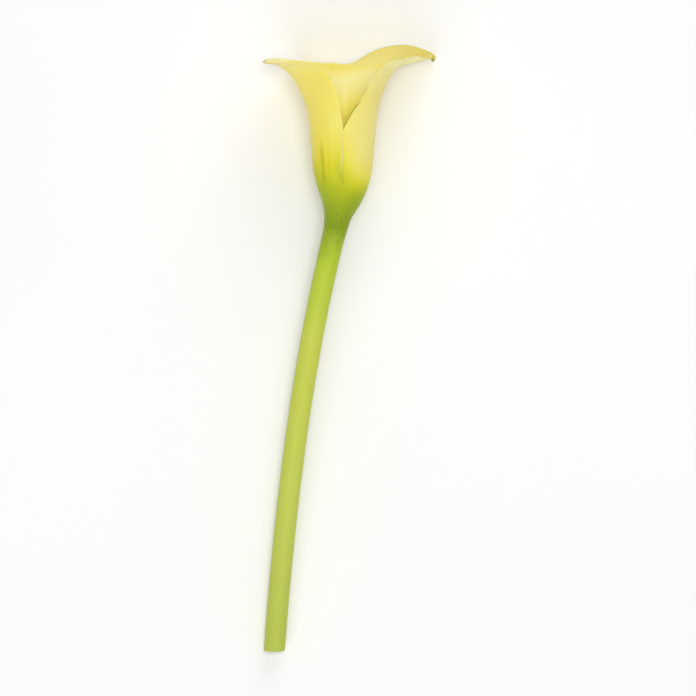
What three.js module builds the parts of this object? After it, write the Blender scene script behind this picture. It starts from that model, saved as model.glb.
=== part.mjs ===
// An arum lily flower as picked: the flowering stem, the yellow sheath (spathe) rolled into a
// trumpet, and the finger of tiny florets (spadix) that stands inside it. It lies on its back.
//
// Sizes are in millimetres, azimuths and angles in degrees.
// The flower is drawn upright in a frame of its own: x across, y along the bloom's axis with 0 where
// the sheath grows from the stem, and z towards the seam where the sheath's two margins overlap.
// An azimuth turns about y, from 0 at +z towards +x. A level runs up the sheath: 0 at its foot,
// 1 at the throat, where the tube ends, and 2 at the rim of the spreading limb.
// Laid down, +y runs from the cut end to the bloom, +z is up, and the seam is uppermost.
import * as THREE from "three";

// Flowering stem, below the bloom.
const STEM_LENGTH = 150;
const STEM_RADIUS = 4.0;
const STEM_CUT_RADIUS = 3.7;
const STEM_TOP_RADIUS = 4.3;
const STEM_TOP_SWELL = 4; // how fast the swelling under the bloom fades
const STEM_SIDEWAYS = 31; // the stem curves off by this much in x, far below the bloom
const STEM_SIDEWAYS_RUN = 122;
const STEM_DROOP = 4; // how far the cut end rises towards +z, which flattens the stem as it lies

// Tube of the sheath.
const THROAT_HEIGHT = 35;
const NECK_RADIUS = 4.4;
const TUBE_SWELL = 4.42;
const TUBE_SWELL_HEIGHT = 11;
const TUBE_SWELL_POWER = 1.9;
const TUBE_SLOPE = 0.085;
const TUBE_LEAN = 2.1; // the bloom's axis moves to +x by this much just above the stem
const TUBE_LEAN_HEIGHT = 5.5;
const TUBE_LEAN_POWER = 1.6;
const ROLL_GAP = 1.5; // distance between the two layers where the rolled sheath overlaps itself

// Spreading limb, all the way round: azimuth, reach from the axis and height of the arc that the
// sheath makes above the throat, the angle through which that arc turns outwards, how late it flares
// (1 follows a round arc), and how far beyond the arc the rim runs on outwards and turns up again.
const LIMB_STATIONS = [
  [0, 22.5, 22.6, 100, 1.0, 0, 0],
  [30, 22.2, 22.8, 98, 1.0, 0, 0],
  [50, 22.0, 22.8, 94, 1.0, 0, 0],
  [66, 22.3, 23.2, 88, 1.0, 0, 0],
  [84, 23.4, 23.8, 84, 1.0, 0, 0],
  [108, 27.8, 23.0, 88, 1.05, 1.0, 0.5],
  [128, 29.9, 20.2, 108, 1.0, 4.4, 4.2],
  [142, 24.4, 19.0, 136, 1.0, 8.7, 12.0],
  [155, 21.4, 18.8, 138, 0.95, 7.3, 11.0],
  [170, 20.8, 18.4, 130, 0.95, 3.5, 5.2],
  [185, 22.5, 18.9, 116, 1.0, 0.8, 1.0],
  [202, 27.7, 19.0, 112, 1.0, 0, 0],
  [220, 28.6, 20.2, 108, 1.0, 0, 0],
  [240, 28.6, 21.3, 100, 0.98, 0, 0],
  [265, 27.9, 21.2, 96, 0.98, 0, 0],
  [300, 26.4, 22.2, 98, 0.98, 0, 0],
  [332, 24.2, 22.6, 100, 1.0, 0, 0],
];
const RUN_START = 0.6; // share of the limb after which it runs on outwards
const RUN_POWER = 1.5;
const UPTURN_START = 0.75; // share of the limb after which it turns up again
const UPTURN_POWER = 2;
const TIP_AZIMUTH = 128;
const TIP_LENGTH = 5.6;
const TIP_WIDTH = 9.5; // in degrees of azimuth
const TIP_POWER = 1.5; // how blunt the tip is, where 1 is a sharp point
const CURL = 2.6; // how far the rim curls down beside the tip
const CURL_AZIMUTH = 117;
const CURL_WIDTH = 13; // in degrees of azimuth
const CURL_POWER = 4;
const VALLEY = 0.09; // depth of the valley inside the upturned limb, as a share of the upturn
const VALLEY_PLACE = 0.78; // share of the limb at which it lies
const VALLEY_WIDTH = 0.075;

// Margins of the sheath. The inner one lies inside the roll, on the left of the seam.
const INNER_AZIMUTH = -64;
const OUTER_AZIMUTH = 360;
const INNER_LEVEL = 0.28; // level of the inner margin's corner; it climbs to the throat at azimuth 0
const RIGHT_MARGIN = [
  [0, 1.0],
  [18, 1.17],
  [38, 1.36],
  [50, 1.74],
  [62, 1.97],
  [80, 2.0],
];
const LEFT_MARGIN_WIDTH = 78;
const LEFT_MARGIN_POWER = 3.2;

const FOOT_THICKNESS = 1.1;
const RIM_THICKNESS = 0.7;

// Spadix, as radii at heights above the sheath's foot.
const SPADIX_PROFILE = [
  [0, 1.6],
  [2.5, 1.6],
  [5, 2.1],
  [9, 2.45],
  [14, 2.6],
  [19, 2.5],
  [24, 2.1],
  [27, 1.4],
  [28.2, 0.7],
];
const SPADIX_HEIGHT = 28.5;

const SEAT_GAP = 0.3; // between the stem's top and the two organs that grow from it
const REST_PITCH = 7.42; // the bloom's axis rises by this much when the flower lies on its back

const COLUMN_STEP = 8; // degrees of azimuth between the sheath's columns of points
const TIP_COLUMN_STEP = 4; // the same within TIP_REGION of the tip
const TIP_REGION = 32;
const SHEATH_ROWS = 22;
const STEM_RINGS = 30;
const STEM_SIDES = 16;
const SPADIX_SIDES = 14;
const NORMAL_STEP = 0.001;

const clamp = THREE.MathUtils.clamp;
const lerp = THREE.MathUtils.lerp;
const radians = THREE.MathUtils.degToRad;
const smooth = (x) => THREE.MathUtils.smoothstep(x, 0, 1);
const hill = (x, width) => Math.exp(-((x / width) ** 2));

// The value in the given column at x, on a smooth curve through rows whose first column is x.
function curveThrough(rows, x, column) {
  const last = rows.length - 1;
  const slope = (i) => {
    const [low, high] = [rows[Math.max(i - 1, 0)], rows[Math.min(i + 1, last)]];
    return (high[column] - low[column]) / (high[0] - low[0]);
  };
  const at = clamp(x, rows[0][0], rows[last][0]);
  const next = Math.max(1, rows.findIndex((row) => row[0] >= at));
  const [a, b] = [rows[next - 1], rows[next]];
  const span = b[0] - a[0];
  const t = (at - a[0]) / span;
  const ease = t * t * (3 - 2 * t);
  return (
    lerp(a[column], b[column], ease) +
    span * slope(next - 1) * t * (1 - t) ** 2 -
    span * slope(next) * t * t * (1 - t)
  );
}

// The same stations again before 0 and after 360 degrees, so that a curve through them closes.
const turned = (rows, by) => rows.map(([azimuth, ...rest]) => [azimuth + by, ...rest]);
const LIMB_AROUND = [
  ...turned(LIMB_STATIONS, -360),
  ...LIMB_STATIONS,
  ...turned(LIMB_STATIONS, 360),
];

// Bends a point of the straight flower to the curve that its axis follows.
function bend(point) {
  const below = Math.min(point.y, 0);
  const above = Math.max(point.y, 0);
  point.x += TUBE_LEAN * (1 - Math.exp(-((above / TUBE_LEAN_HEIGHT) ** TUBE_LEAN_POWER)));
  point.x -= STEM_SIDEWAYS * (1 - Math.exp(below / STEM_SIDEWAYS_RUN));
  point.z += STEM_DROOP * (below / STEM_LENGTH) ** 2;
  return point;
}

function tubeRadius(height) {
  const swell = 1 - Math.exp(-((height / TUBE_SWELL_HEIGHT) ** TUBE_SWELL_POWER));
  return NECK_RADIUS + TUBE_SWELL * swell + TUBE_SLOPE * height;
}

// Highest level of the sheath at an azimuth: the rim, or the margin that sweeps down to the seam.
function marginLevel(azimuth) {
  if (azimuth < 0) return lerp(1, INNER_LEVEL, azimuth / INNER_AZIMUTH);
  const fromSeam = clamp((OUTER_AZIMUTH - azimuth) / LEFT_MARGIN_WIDTH, 0, 1);
  const left = 2 - (1 - fromSeam) ** LEFT_MARGIN_POWER;
  return Math.min(left, curveThrough(RIGHT_MARGIN, azimuth, 1));
}

// A point of the sheath's outer face.
function sheathPoint(azimuth, level) {
  const fromTip = Math.abs(azimuth - TIP_AZIMUTH) / TIP_WIDTH;
  const reach =
    curveThrough(LIMB_AROUND, azimuth, 1) + TIP_LENGTH * Math.exp(-(fromTip ** TIP_POWER));
  const rise = curveThrough(LIMB_AROUND, azimuth, 2);
  const turn = radians(curveThrough(LIMB_AROUND, azimuth, 3));
  const up = Math.min(level, 1);
  const out = Math.max(level - 1, 0);
  const height = THROAT_HEIGHT * up + rise * Math.sin(out * turn);
  const rimHeight = THROAT_HEIGHT + rise * Math.sin(turn);
  const arc = (1 - Math.cos(out * turn)) / (1 - Math.cos(turn));
  const flare = arc ** curveThrough(LIMB_AROUND, azimuth, 4);
  const roll = ROLL_GAP * (1 - smooth(out));
  const beyond = (start, power) => clamp((out - start) / (1 - start), 0, 1) ** power;
  const run = curveThrough(LIMB_AROUND, azimuth, 5) * beyond(RUN_START, RUN_POWER);
  const upturn = curveThrough(LIMB_AROUND, azimuth, 6);
  const radius =
    tubeRadius(height) +
    (reach - tubeRadius(rimHeight)) * flare +
    run +
    roll * (azimuth / 360 - 0.5);
  const dip =
    CURL * hill(azimuth - CURL_AZIMUTH, CURL_WIDTH) * out ** CURL_POWER +
    VALLEY * upturn * hill(out - VALLEY_PLACE, VALLEY_WIDTH);
  const angle = radians(azimuth);
  return bend(
    new THREE.Vector3(
      radius * Math.sin(angle) + (ROLL_GAP / 4) * (1 - out),
      height - dip + upturn * beyond(UPTURN_START, UPTURN_POWER),
      radius * Math.cos(angle),
    ),
  );
}

// The sheath's inner face lies one thickness inside the outer face, square to it, and its foot is flat.
function sheathInnerPoint(azimuth, level) {
  const low = Math.max(level - NORMAL_STEP, 0);
  const across = sheathPoint(azimuth + NORMAL_STEP, level).sub(
    sheathPoint(azimuth - NORMAL_STEP, level),
  );
  const along = sheathPoint(azimuth, level + NORMAL_STEP).sub(sheathPoint(azimuth, low));
  const inward = along.cross(across).normalize();
  const thickness = lerp(FOOT_THICKNESS, RIM_THICKNESS, level / 2);
  const point = sheathPoint(azimuth, level).addScaledVector(inward, thickness);
  point.y = Math.max(point.y, 0);
  return point;
}

// A closed solid between two faces, each a grid of (columns + 1) by (rows + 1) points.
function sheetSolid(outerFace, innerFace, columns, rows) {
  const perColumn = rows + 1;
  const inner = (columns + 1) * perColumn;
  const at = (column, row) => column * perColumn + row;
  const index = [];
  const quad = (a, b, c, d) => index.push(a, b, c, a, c, d);
  for (let column = 0; column < columns; column++) {
    for (let row = 0; row < rows; row++) {
      const corners = [
        at(column, row),
        at(column + 1, row),
        at(column + 1, row + 1),
        at(column, row + 1),
      ];
      quad(...corners);
      quad(...corners.map((corner) => inner + corner).reverse());
    }
  }
  const edge = [];
  for (let column = 0; column < columns; column++) edge.push(at(column, 0));
  for (let row = 0; row < rows; row++) edge.push(at(columns, row));
  for (let column = columns; column > 0; column--) edge.push(at(column, rows));
  for (let row = rows; row > 0; row--) edge.push(at(0, row));
  edge.forEach((from, i) => {
    const to = edge[(i + 1) % edge.length];
    quad(to, from, inner + from, inner + to);
  });
  const geometry = new THREE.BufferGeometry();
  geometry.setFromPoints([...outerFace, ...innerFace]);
  geometry.setIndex(index);
  geometry.computeVertexNormals();
  return geometry;
}

function sheathGeometry() {
  const outerFace = [];
  const innerFace = [];
  let columns = -1;
  let azimuth = INNER_AZIMUTH;
  while (azimuth <= OUTER_AZIMUTH) {
    for (let row = 0; row <= SHEATH_ROWS; row++) {
      const level = (marginLevel(azimuth) * row) / SHEATH_ROWS;
      outerFace.push(sheathPoint(azimuth, level));
      innerFace.push(sheathInnerPoint(azimuth, level));
    }
    columns += 1;
    azimuth += Math.abs(azimuth - TIP_AZIMUTH) < TIP_REGION ? TIP_COLUMN_STEP : COLUMN_STEP;
  }
  return sheetSolid(outerFace, innerFace, columns, SHEATH_ROWS);
}

// A solid turned round the straight axis from [height, radius] rows, then bent with the flower.
function turnedSolid(rows, sides) {
  const profile = [
    new THREE.Vector2(0, rows[0][0]),
    ...rows.map(([height, radius]) => new THREE.Vector2(radius, height)),
    new THREE.Vector2(0, rows.at(-1)[0]),
  ];
  const geometry = new THREE.LatheGeometry(profile, sides);
  const position = geometry.getAttribute("position");
  const point = new THREE.Vector3();
  for (let i = 0; i < position.count; i++) {
    bend(point.fromBufferAttribute(position, i));
    position.setXYZ(i, point.x, point.y, point.z);
  }
  geometry.computeVertexNormals();
  return geometry;
}

function stemRadius(height) {
  const swell = (STEM_TOP_RADIUS - STEM_RADIUS) * Math.exp(height / STEM_TOP_SWELL);
  return lerp(STEM_RADIUS, STEM_CUT_RADIUS, -height / STEM_LENGTH) + swell;
}

function stemGeometry() {
  const rows = [];
  for (let ring = 0; ring <= STEM_RINGS; ring++) {
    const height = lerp(-STEM_LENGTH, -SEAT_GAP, ring / STEM_RINGS);
    rows.push([height, stemRadius(height)]);
  }
  return turnedSolid(rows, STEM_SIDES);
}

function spadixGeometry() {
  const rows = SPADIX_PROFILE.map(([height, radius]) => [height, radius]);
  rows.push([SPADIX_HEIGHT, SPADIX_PROFILE.at(-1)[1] / 2]);
  return turnedSolid(rows, SPADIX_SIDES);
}

function organ(name, geometry, color, roughness) {
  const material = new THREE.MeshStandardMaterial({ color, roughness, metalness: 0 });
  const mesh = new THREE.Mesh(geometry, material);
  mesh.name = name;
  return mesh;
}

const upright = new THREE.Group();
upright.add(
  organ("stem", stemGeometry(), 0xa9bd3c, 0.45),
  organ("spathe", sheathGeometry(), 0xf0dc5c, 0.5),
  organ("spadix", spadixGeometry(), 0xe8b92e, 0.8),
);
upright.rotation.x = radians(REST_PITCH);

// The origin is the middle of the flower's footprint, on the surface that it lies on.
const flower = new THREE.Group();
flower.add(upright);
flower.updateMatrixWorld(true);
const box = new THREE.Box3().setFromObject(flower, true);
const middle = box.getCenter(new THREE.Vector3());
upright.position.set(-middle.x, -middle.y, -box.min.z);

export default flower;
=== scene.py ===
"""An arum lily flower as picked: a yellow sheath rolled into a trumpet, the finger of florets inside
it, and the green stem that carries them. It lies on its back and is seen from above.

Sizes are in millimetres and angles in degrees until a mesh is made, and meshes are in metres.
The flower is drawn upright in a frame of its own: x across, y along the bloom's axis with 0 where
the sheath grows from the stem, and z towards the seam where the sheath's two margins overlap.
An azimuth turns about y, from 0 at +z towards +x. A level runs up the sheath: 0 at its foot,
1 at the throat, where the tube ends, and 2 at the rim of the spreading limb.
"""

import logging
import math
from dataclasses import dataclass
from enum import Enum
from functools import cached_property

import bpy
import numpy as np
from mathutils import Matrix, Vector


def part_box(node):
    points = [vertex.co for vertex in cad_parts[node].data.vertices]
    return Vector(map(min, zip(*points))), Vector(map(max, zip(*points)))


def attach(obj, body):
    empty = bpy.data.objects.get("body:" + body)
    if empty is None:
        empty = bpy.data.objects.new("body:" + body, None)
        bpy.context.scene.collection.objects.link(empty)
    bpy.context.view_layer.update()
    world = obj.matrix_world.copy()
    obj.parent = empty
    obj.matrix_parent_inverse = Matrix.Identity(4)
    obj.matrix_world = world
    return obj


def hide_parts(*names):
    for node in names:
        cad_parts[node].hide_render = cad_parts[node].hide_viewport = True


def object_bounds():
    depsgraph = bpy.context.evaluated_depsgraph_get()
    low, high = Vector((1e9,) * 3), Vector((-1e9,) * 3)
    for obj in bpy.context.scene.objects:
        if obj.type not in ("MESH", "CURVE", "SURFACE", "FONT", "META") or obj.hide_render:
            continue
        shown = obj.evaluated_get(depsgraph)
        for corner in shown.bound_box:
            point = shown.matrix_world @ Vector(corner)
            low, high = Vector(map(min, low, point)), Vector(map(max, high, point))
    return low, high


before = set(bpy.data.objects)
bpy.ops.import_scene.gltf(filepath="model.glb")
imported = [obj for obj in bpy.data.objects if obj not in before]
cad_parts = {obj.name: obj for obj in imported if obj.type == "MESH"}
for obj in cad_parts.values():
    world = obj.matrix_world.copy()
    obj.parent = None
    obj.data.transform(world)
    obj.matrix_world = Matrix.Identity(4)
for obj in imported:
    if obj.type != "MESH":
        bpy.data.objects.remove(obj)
CAD_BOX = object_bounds()

MM = 0.001
BODY = "root"
GOLDEN_ANGLE = 180 * (3 - math.sqrt(5))
SEED = 11
TINY = 1e-12
BLOOM_AXIS = np.array([0.0, 1.0, 0.0])

log = logging.getLogger("arum_lily")

Array = np.ndarray
Number = Array | float
Socket = bpy.types.NodeSocket
Node = bpy.types.Node
Material = bpy.types.Material
Piece = bpy.types.Object
NodeTree = bpy.types.NodeTree
Pair = tuple[float, float]
Stops = tuple[tuple[float, str], ...]
Rows = tuple[tuple[float, ...], ...]


# ---------------------------------------------------------------------------------------------
# Shapes
# ---------------------------------------------------------------------------------------------


def lerp(low: Number, high: Number, t: Number) -> Number:
    """The value that lies t of the way from low to high."""
    return low + (high - low) * t


def smooth(x: Number) -> Number:
    """An S-shaped step from 0 at x = 0 to 1 at x = 1."""
    x = np.clip(x, 0, 1)
    return x * x * (3 - 2 * x)


def between(x: Number, low: float, high: float) -> Number:
    """An S-shaped step from 0 at x = low to 1 at x = high."""
    return smooth((x - low) / (high - low))


def hill(x: Number, width: float) -> Number:
    """A smooth hill, 1 at x = 0 and fading out over width on both sides."""
    return np.exp(-((x / width) ** 2))


def unit(vectors: Array) -> Array:
    """The vectors at length 1."""
    return vectors / np.maximum(np.linalg.norm(vectors, axis=-1, keepdims=True), TINY)


def around(radius: Number, azimuth: Number, height: Number) -> Array:
    """Points about the straight axis.

    Args:
        radius: distance from the axis.
        azimuth: turn about the axis.
        height: place along the axis.

    Returns:
        The points, with x, y and z in the last dimension.
    """
    angle = np.radians(azimuth)
    parts = np.broadcast_arrays(radius * np.sin(angle), height, radius * np.cos(angle))
    return np.stack(parts, axis=-1)


def turn_in(count: int) -> Array:
    """Azimuths of points spread evenly over one turn."""
    return np.arange(count) * 360 / count


class SmoothCurve:
    """A smooth curve through rows of a place and its values, which may close on itself."""

    def __init__(self, rows: Rows, turn: float = 0.0) -> None:
        """Takes the rows.

        Args:
            rows: each a place followed by its values, in rising order of place.
            turn: the length of one turn for a curve that closes, or 0.
        """
        table = np.array(rows, float)
        if turn:
            step = np.eye(1, table.shape[1])[0] * turn
            table = np.concatenate([table - step, table, table + step])
        order = np.arange(len(table))
        low = np.maximum(order - 1, 0)
        high = np.minimum(order + 1, len(table) - 1)
        self.places = table[:, 0]
        self.values = table[:, 1:]
        run = (self.places[high] - self.places[low])[:, None]
        self.slopes = (self.values[high] - self.values[low]) / run

    def at(self, place: Number, column: int = 0) -> Array:
        """The curve's value at each place.

        Args:
            place: the places.
            column: which of the values, counted from 0.

        Returns:
            The values.
        """
        x = np.clip(place, self.places[0], self.places[-1])
        high = np.clip(np.searchsorted(self.places, x), 1, len(self.places) - 1)
        low = high - 1
        span = self.places[high] - self.places[low]
        t = (x - self.places[low]) / span
        level = lerp(self.values[low, column], self.values[high, column], smooth(t))
        rise = self.slopes[low, column] * t * (1 - t) ** 2
        fall = self.slopes[high, column] * t * t * (1 - t)
        return level + span * (rise - fall)


@dataclass(frozen=True)
class BentAxis:
    """The curve that the flower's axis follows, from the stem's cut end up into the bloom.

    Attributes:
        stem_length: length of the stem below the sheath.
        lean: how far the bloom's axis moves to +x just above the stem.
        lean_height: height over which it does so.
        lean_power: how suddenly it does so.
        sideways: how far the stem curves off in x, far below the bloom.
        sideways_run: length over which it does so.
        droop: how far the cut end rises towards +z, which flattens the stem as it lies.
    """

    stem_length: float = 150.0
    lean: float = 2.1
    lean_height: float = 5.5
    lean_power: float = 1.6
    sideways: float = 31.0
    sideways_run: float = 122.0
    droop: float = 4.0

    def bend(self, points: Array) -> Array:
        """Moves points of the straight flower to the curve.

        Args:
            points: points of the straight flower.

        Returns:
            The moved points.
        """
        below = np.minimum(points[..., 1], 0)
        above = np.maximum(points[..., 1], 0)
        moved = points.copy()
        moved[..., 0] += self.lean * (1 - np.exp(-((above / self.lean_height) ** self.lean_power)))
        moved[..., 0] -= self.sideways * (1 - np.exp(below / self.sideways_run))
        moved[..., 2] += self.droop * (below / self.stem_length) ** 2
        return moved


AXIS = BentAxis()


@dataclass(frozen=True)
class Laying:
    """How the upright flower is laid on its back in the frame.

    Attributes:
        shift: where the upright frame's origin goes.
        pitch: how far the bloom's axis rises from the surface.
    """

    shift: tuple[float, ...] = (0.0, 0.0, 0.0)
    pitch: float = 7.42

    def laid(self, points: Array) -> Array:
        """Points of the upright flower, in the frame and in metres."""
        turn = np.array(Matrix.Rotation(math.radians(self.pitch), 3, "X"))
        return (points @ turn.T + np.array(self.shift)) * MM

    @classmethod
    def onto_node(cls, points: Array, node: str) -> "Laying":
        """The laying that puts the lowest corner of these points' box on that of a CAD node's box.

        Args:
            points: points of the upright flower that reach as low on each axis as the node does.
            node: the CAD node.

        Returns:
            The laying.
        """
        low = np.array(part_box(node)[0]) / MM
        turned = cls().laid(points).reshape(-1, 3) / MM
        return cls(shift=tuple(low - turned.min(0)))


def grid_faces(index: Array) -> list[list[int]]:
    """Quads over a grid of point numbers, facing out where columns run round and rows run up."""
    corners = [index[:-1, :-1], index[1:, :-1], index[1:, 1:], index[:-1, 1:]]
    return np.stack(corners, axis=-1).reshape(-1, 4).tolist()


def without_doubles(faces: list[list[int]]) -> list[list[int]]:
    """The faces without the corners that coincide, and without those that this makes empty."""
    merged = [list(dict.fromkeys(face)) for face in faces]
    return [face for face in merged if len(face) > 2]


def turned_faces(rows: int, sides: int) -> list[list[int]]:
    """Faces of a solid turned round the axis, all facing out.

    Args:
        rows: rings, from the foot up.
        sides: points in each ring. The points after the last ring are the foot's middle and the
            top's middle.

    Returns:
        The faces.
    """
    index = np.arange(rows * sides).reshape(rows, sides).T
    wrapped = np.concatenate([index, index[:1]])
    foot, top = rows * sides, rows * sides + 1
    faces = grid_faces(wrapped)
    for a, b in zip(wrapped[:-1, 0].tolist(), wrapped[1:, 0].tolist()):
        faces.append([foot, b, a])
    for a, b in zip(wrapped[:-1, -1].tolist(), wrapped[1:, -1].tolist()):
        faces.append([top, a, b])
    return faces


def capped(rings: Array) -> Array:
    """Rings of points followed by the middle of the first ring and of the last."""
    middles = np.stack([rings[0].mean(0), rings[-1].mean(0)])
    return np.concatenate([rings.reshape(-1, rings.shape[-1]), middles])


@dataclass(frozen=True)
class Shell:
    """A mesh in the upright frame, ready to be made.

    Attributes:
        points: places of the points.
        faces: corners of each face.
        notes: values at each point that the materials read, by name.
        coats: which of the piece's materials each face wears, where it has more than one.
    """

    points: Array
    faces: list[list[int]]
    notes: dict[str, Array]
    coats: list[int] | None = None

    def make(
        self, name: str, laying: Laying, materials: list[Material], node: str
    ) -> Piece:
        """Makes the piece, which rides on the body and stands for a CAD node.

        Args:
            name: the piece's name.
            laying: how the flower lies.
            materials: the materials, in the order that the coats name them.
            node: the CAD node that the piece stands for.

        Returns:
            The piece.
        """
        mesh = bpy.data.meshes.new(name)
        mesh.from_pydata(laying.laid(self.points).tolist(), [], self.faces)
        for note, values in self.notes.items():
            kind, part = ("FLOAT_VECTOR", "vector") if values.ndim > 1 else ("FLOAT", "value")
            held = mesh.attributes.new(note, kind, "POINT")
            held.data.foreach_set(part, values.astype(np.float32).ravel())
        for material in materials:
            mesh.materials.append(material)
        if self.coats:
            mesh.polygons.foreach_set("material_index", self.coats)
        mesh.shade_smooth()
        mesh.update()
        piece = bpy.data.objects.new(name, mesh)
        bpy.context.scene.collection.objects.link(piece)
        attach(piece, BODY)
        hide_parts(node)
        size = np.array(piece.dimensions) / MM
        log.info("%s: %d faces, %.1f x %.1f x %.1f mm", name, len(self.faces), *size)
        return piece


# ---------------------------------------------------------------------------------------------
# Finishes
# ---------------------------------------------------------------------------------------------


def tint(code: str) -> tuple[float, ...]:
    """A colour as a shader takes it.

    Args:
        code: the colour as six hexadecimal digits.

    Returns:
        Red, green, blue and a full alpha.
    """
    shares = [int(code[i : i + 2], 16) / 255 for i in (0, 2, 4)]
    linear = [s / 12.92 if s <= 0.04045 else ((s + 0.055) / 1.055) ** 2.4 for s in shares]
    return (*linear, 1.0)


class Bench:
    """Lays out the nodes of one material or node group."""

    def __init__(self, tree: NodeTree) -> None:
        """Takes the node tree to work on."""
        self.tree = tree

    def feed(self, socket: Socket, value: object) -> None:
        """Feeds an input.

        Args:
            socket: the input.
            value: a socket to link to it, or a value to set.
        """
        if isinstance(value, bpy.types.NodeSocket):
            self.tree.links.new(value, socket)
        else:
            socket.default_value = value

    def node(self, kind: str, inputs: dict[str, object] | None = None, **settings: object) -> Node:
        """Adds a node.

        Args:
            kind: the node's type, without its prefix.
            inputs: values or sockets for its inputs, by name.
            settings: its other settings.

        Returns:
            The node.
        """
        made = self.tree.nodes.new("ShaderNode" + kind)
        for name, value in settings.items():
            setattr(made, name, value)
        for name, value in (inputs or {}).items():
            self.feed(made.inputs[name], value)
        return made

    def sum(self, operation: str, a: object, b: object = 0.0) -> Socket:
        """A sum on one or two numbers.

        Args:
            operation: which sum, by the node's own name for it.
            a: the first number or socket.
            b: the second, where the sum takes two.

        Returns:
            The result.
        """
        made = self.node("Math", operation=operation)
        self.feed(made.inputs[0], a)
        self.feed(made.inputs[1], b)
        return made.outputs[0]

    def times(self, *factors: object) -> Socket:
        """The factors multiplied.

        Args:
            factors: numbers or sockets.

        Returns:
            The product.
        """
        product = factors[0]
        for factor in factors[1:]:
            product = self.sum("MULTIPLY", product, factor)
        return product

    def plus(self, *parts: object) -> Socket:
        """The parts added up.

        Args:
            parts: numbers or sockets.

        Returns:
            The total.
        """
        total = parts[0]
        for part in parts[1:]:
            total = self.sum("ADD", total, part)
        return total

    def step(self, value: object, low: float, high: float) -> Socket:
        """A smooth step from 0 where value is low, to 1 where it is high."""
        ends = {"Value": value, "From Min": low, "From Max": high}
        return self.node("MapRange", ends, interpolation_type="SMOOTHSTEP").outputs[0]

    def distance(self, value: object, centre: float) -> Socket:
        """How far a value is from a centre."""
        return self.sum("ABSOLUTE", self.sum("SUBTRACT", value, centre))

    def mix(self, share: object, a: object, b: object, way: str = "MIX") -> Socket:
        """Changes a colour towards another.

        Args:
            share: how far it changes, from 0 to 1.
            a: the colour that changes.
            b: the colour that it changes towards.
            way: how the two blend.

        Returns:
            The changed colour.
        """
        made = self.node("Mix", data_type="RGBA", blend_type=way)
        for place, value in ((0, share), (6, a), (7, b)):
            self.feed(made.inputs[place], tint(value) if isinstance(value, str) else value)
        return made.outputs[2]

    def ramp(self, share: object, stops: Stops) -> Socket:
        """A colour ramp.

        Args:
            share: the place on the ramp.
            stops: places on the ramp and their colours.

        Returns:
            The colour at that place.
        """
        made = self.node("ValToRGB", {"Fac": share})
        elements = made.color_ramp.elements
        elements[0].position = stops[0][0]
        elements[1].position = stops[-1][0]
        for place, _ in stops[1:-1]:
            elements.new(place)
        for element, (_, code) in zip(elements, stops):
            element.color = tint(code)
        return made.outputs["Color"]

    def note(self, name: str, output: str = "Fac") -> Socket:
        """A value that the mesh holds at each point."""
        return self.node("Attribute", attribute_name=name).outputs[output]

    def note_parts(self, name: str) -> tuple[Socket, Socket, Socket]:
        """The three parts of a vector that the mesh holds at each point."""
        parts = self.node("SeparateXYZ", {"Vector": self.note(name, "Vector")}).outputs
        return parts["X"], parts["Y"], parts["Z"]

    def place(self) -> Socket:
        """The point's own place on the piece."""
        return self.node("TexCoord").outputs["Object"]

    def point(self, x: object, y: object, z: object = 0.0) -> Socket:
        """A point with these coordinates."""
        return self.node("CombineXYZ", {"X": x, "Y": y, "Z": z}).outputs[0]

    def noise(self, spot: object, scale: object = 1.0, detail: float = 2.0) -> Socket:
        """Soft noise, about 0 to 1."""
        ends = {"Vector": spot, "Scale": scale, "Detail": detail}
        return self.node("TexNoise", ends).outputs["Fac"]

    def group(self, tree: NodeTree, **inputs: object) -> Node:
        """Places a node group with its own values.

        Args:
            tree: the group.
            inputs: values or sockets for its inputs, named in lower case.

        Returns:
            The group's node.
        """
        made = self.node("Group", node_tree=tree)
        for name, value in inputs.items():
            self.feed(made.inputs[name.capitalize()], value)
        return made


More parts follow.
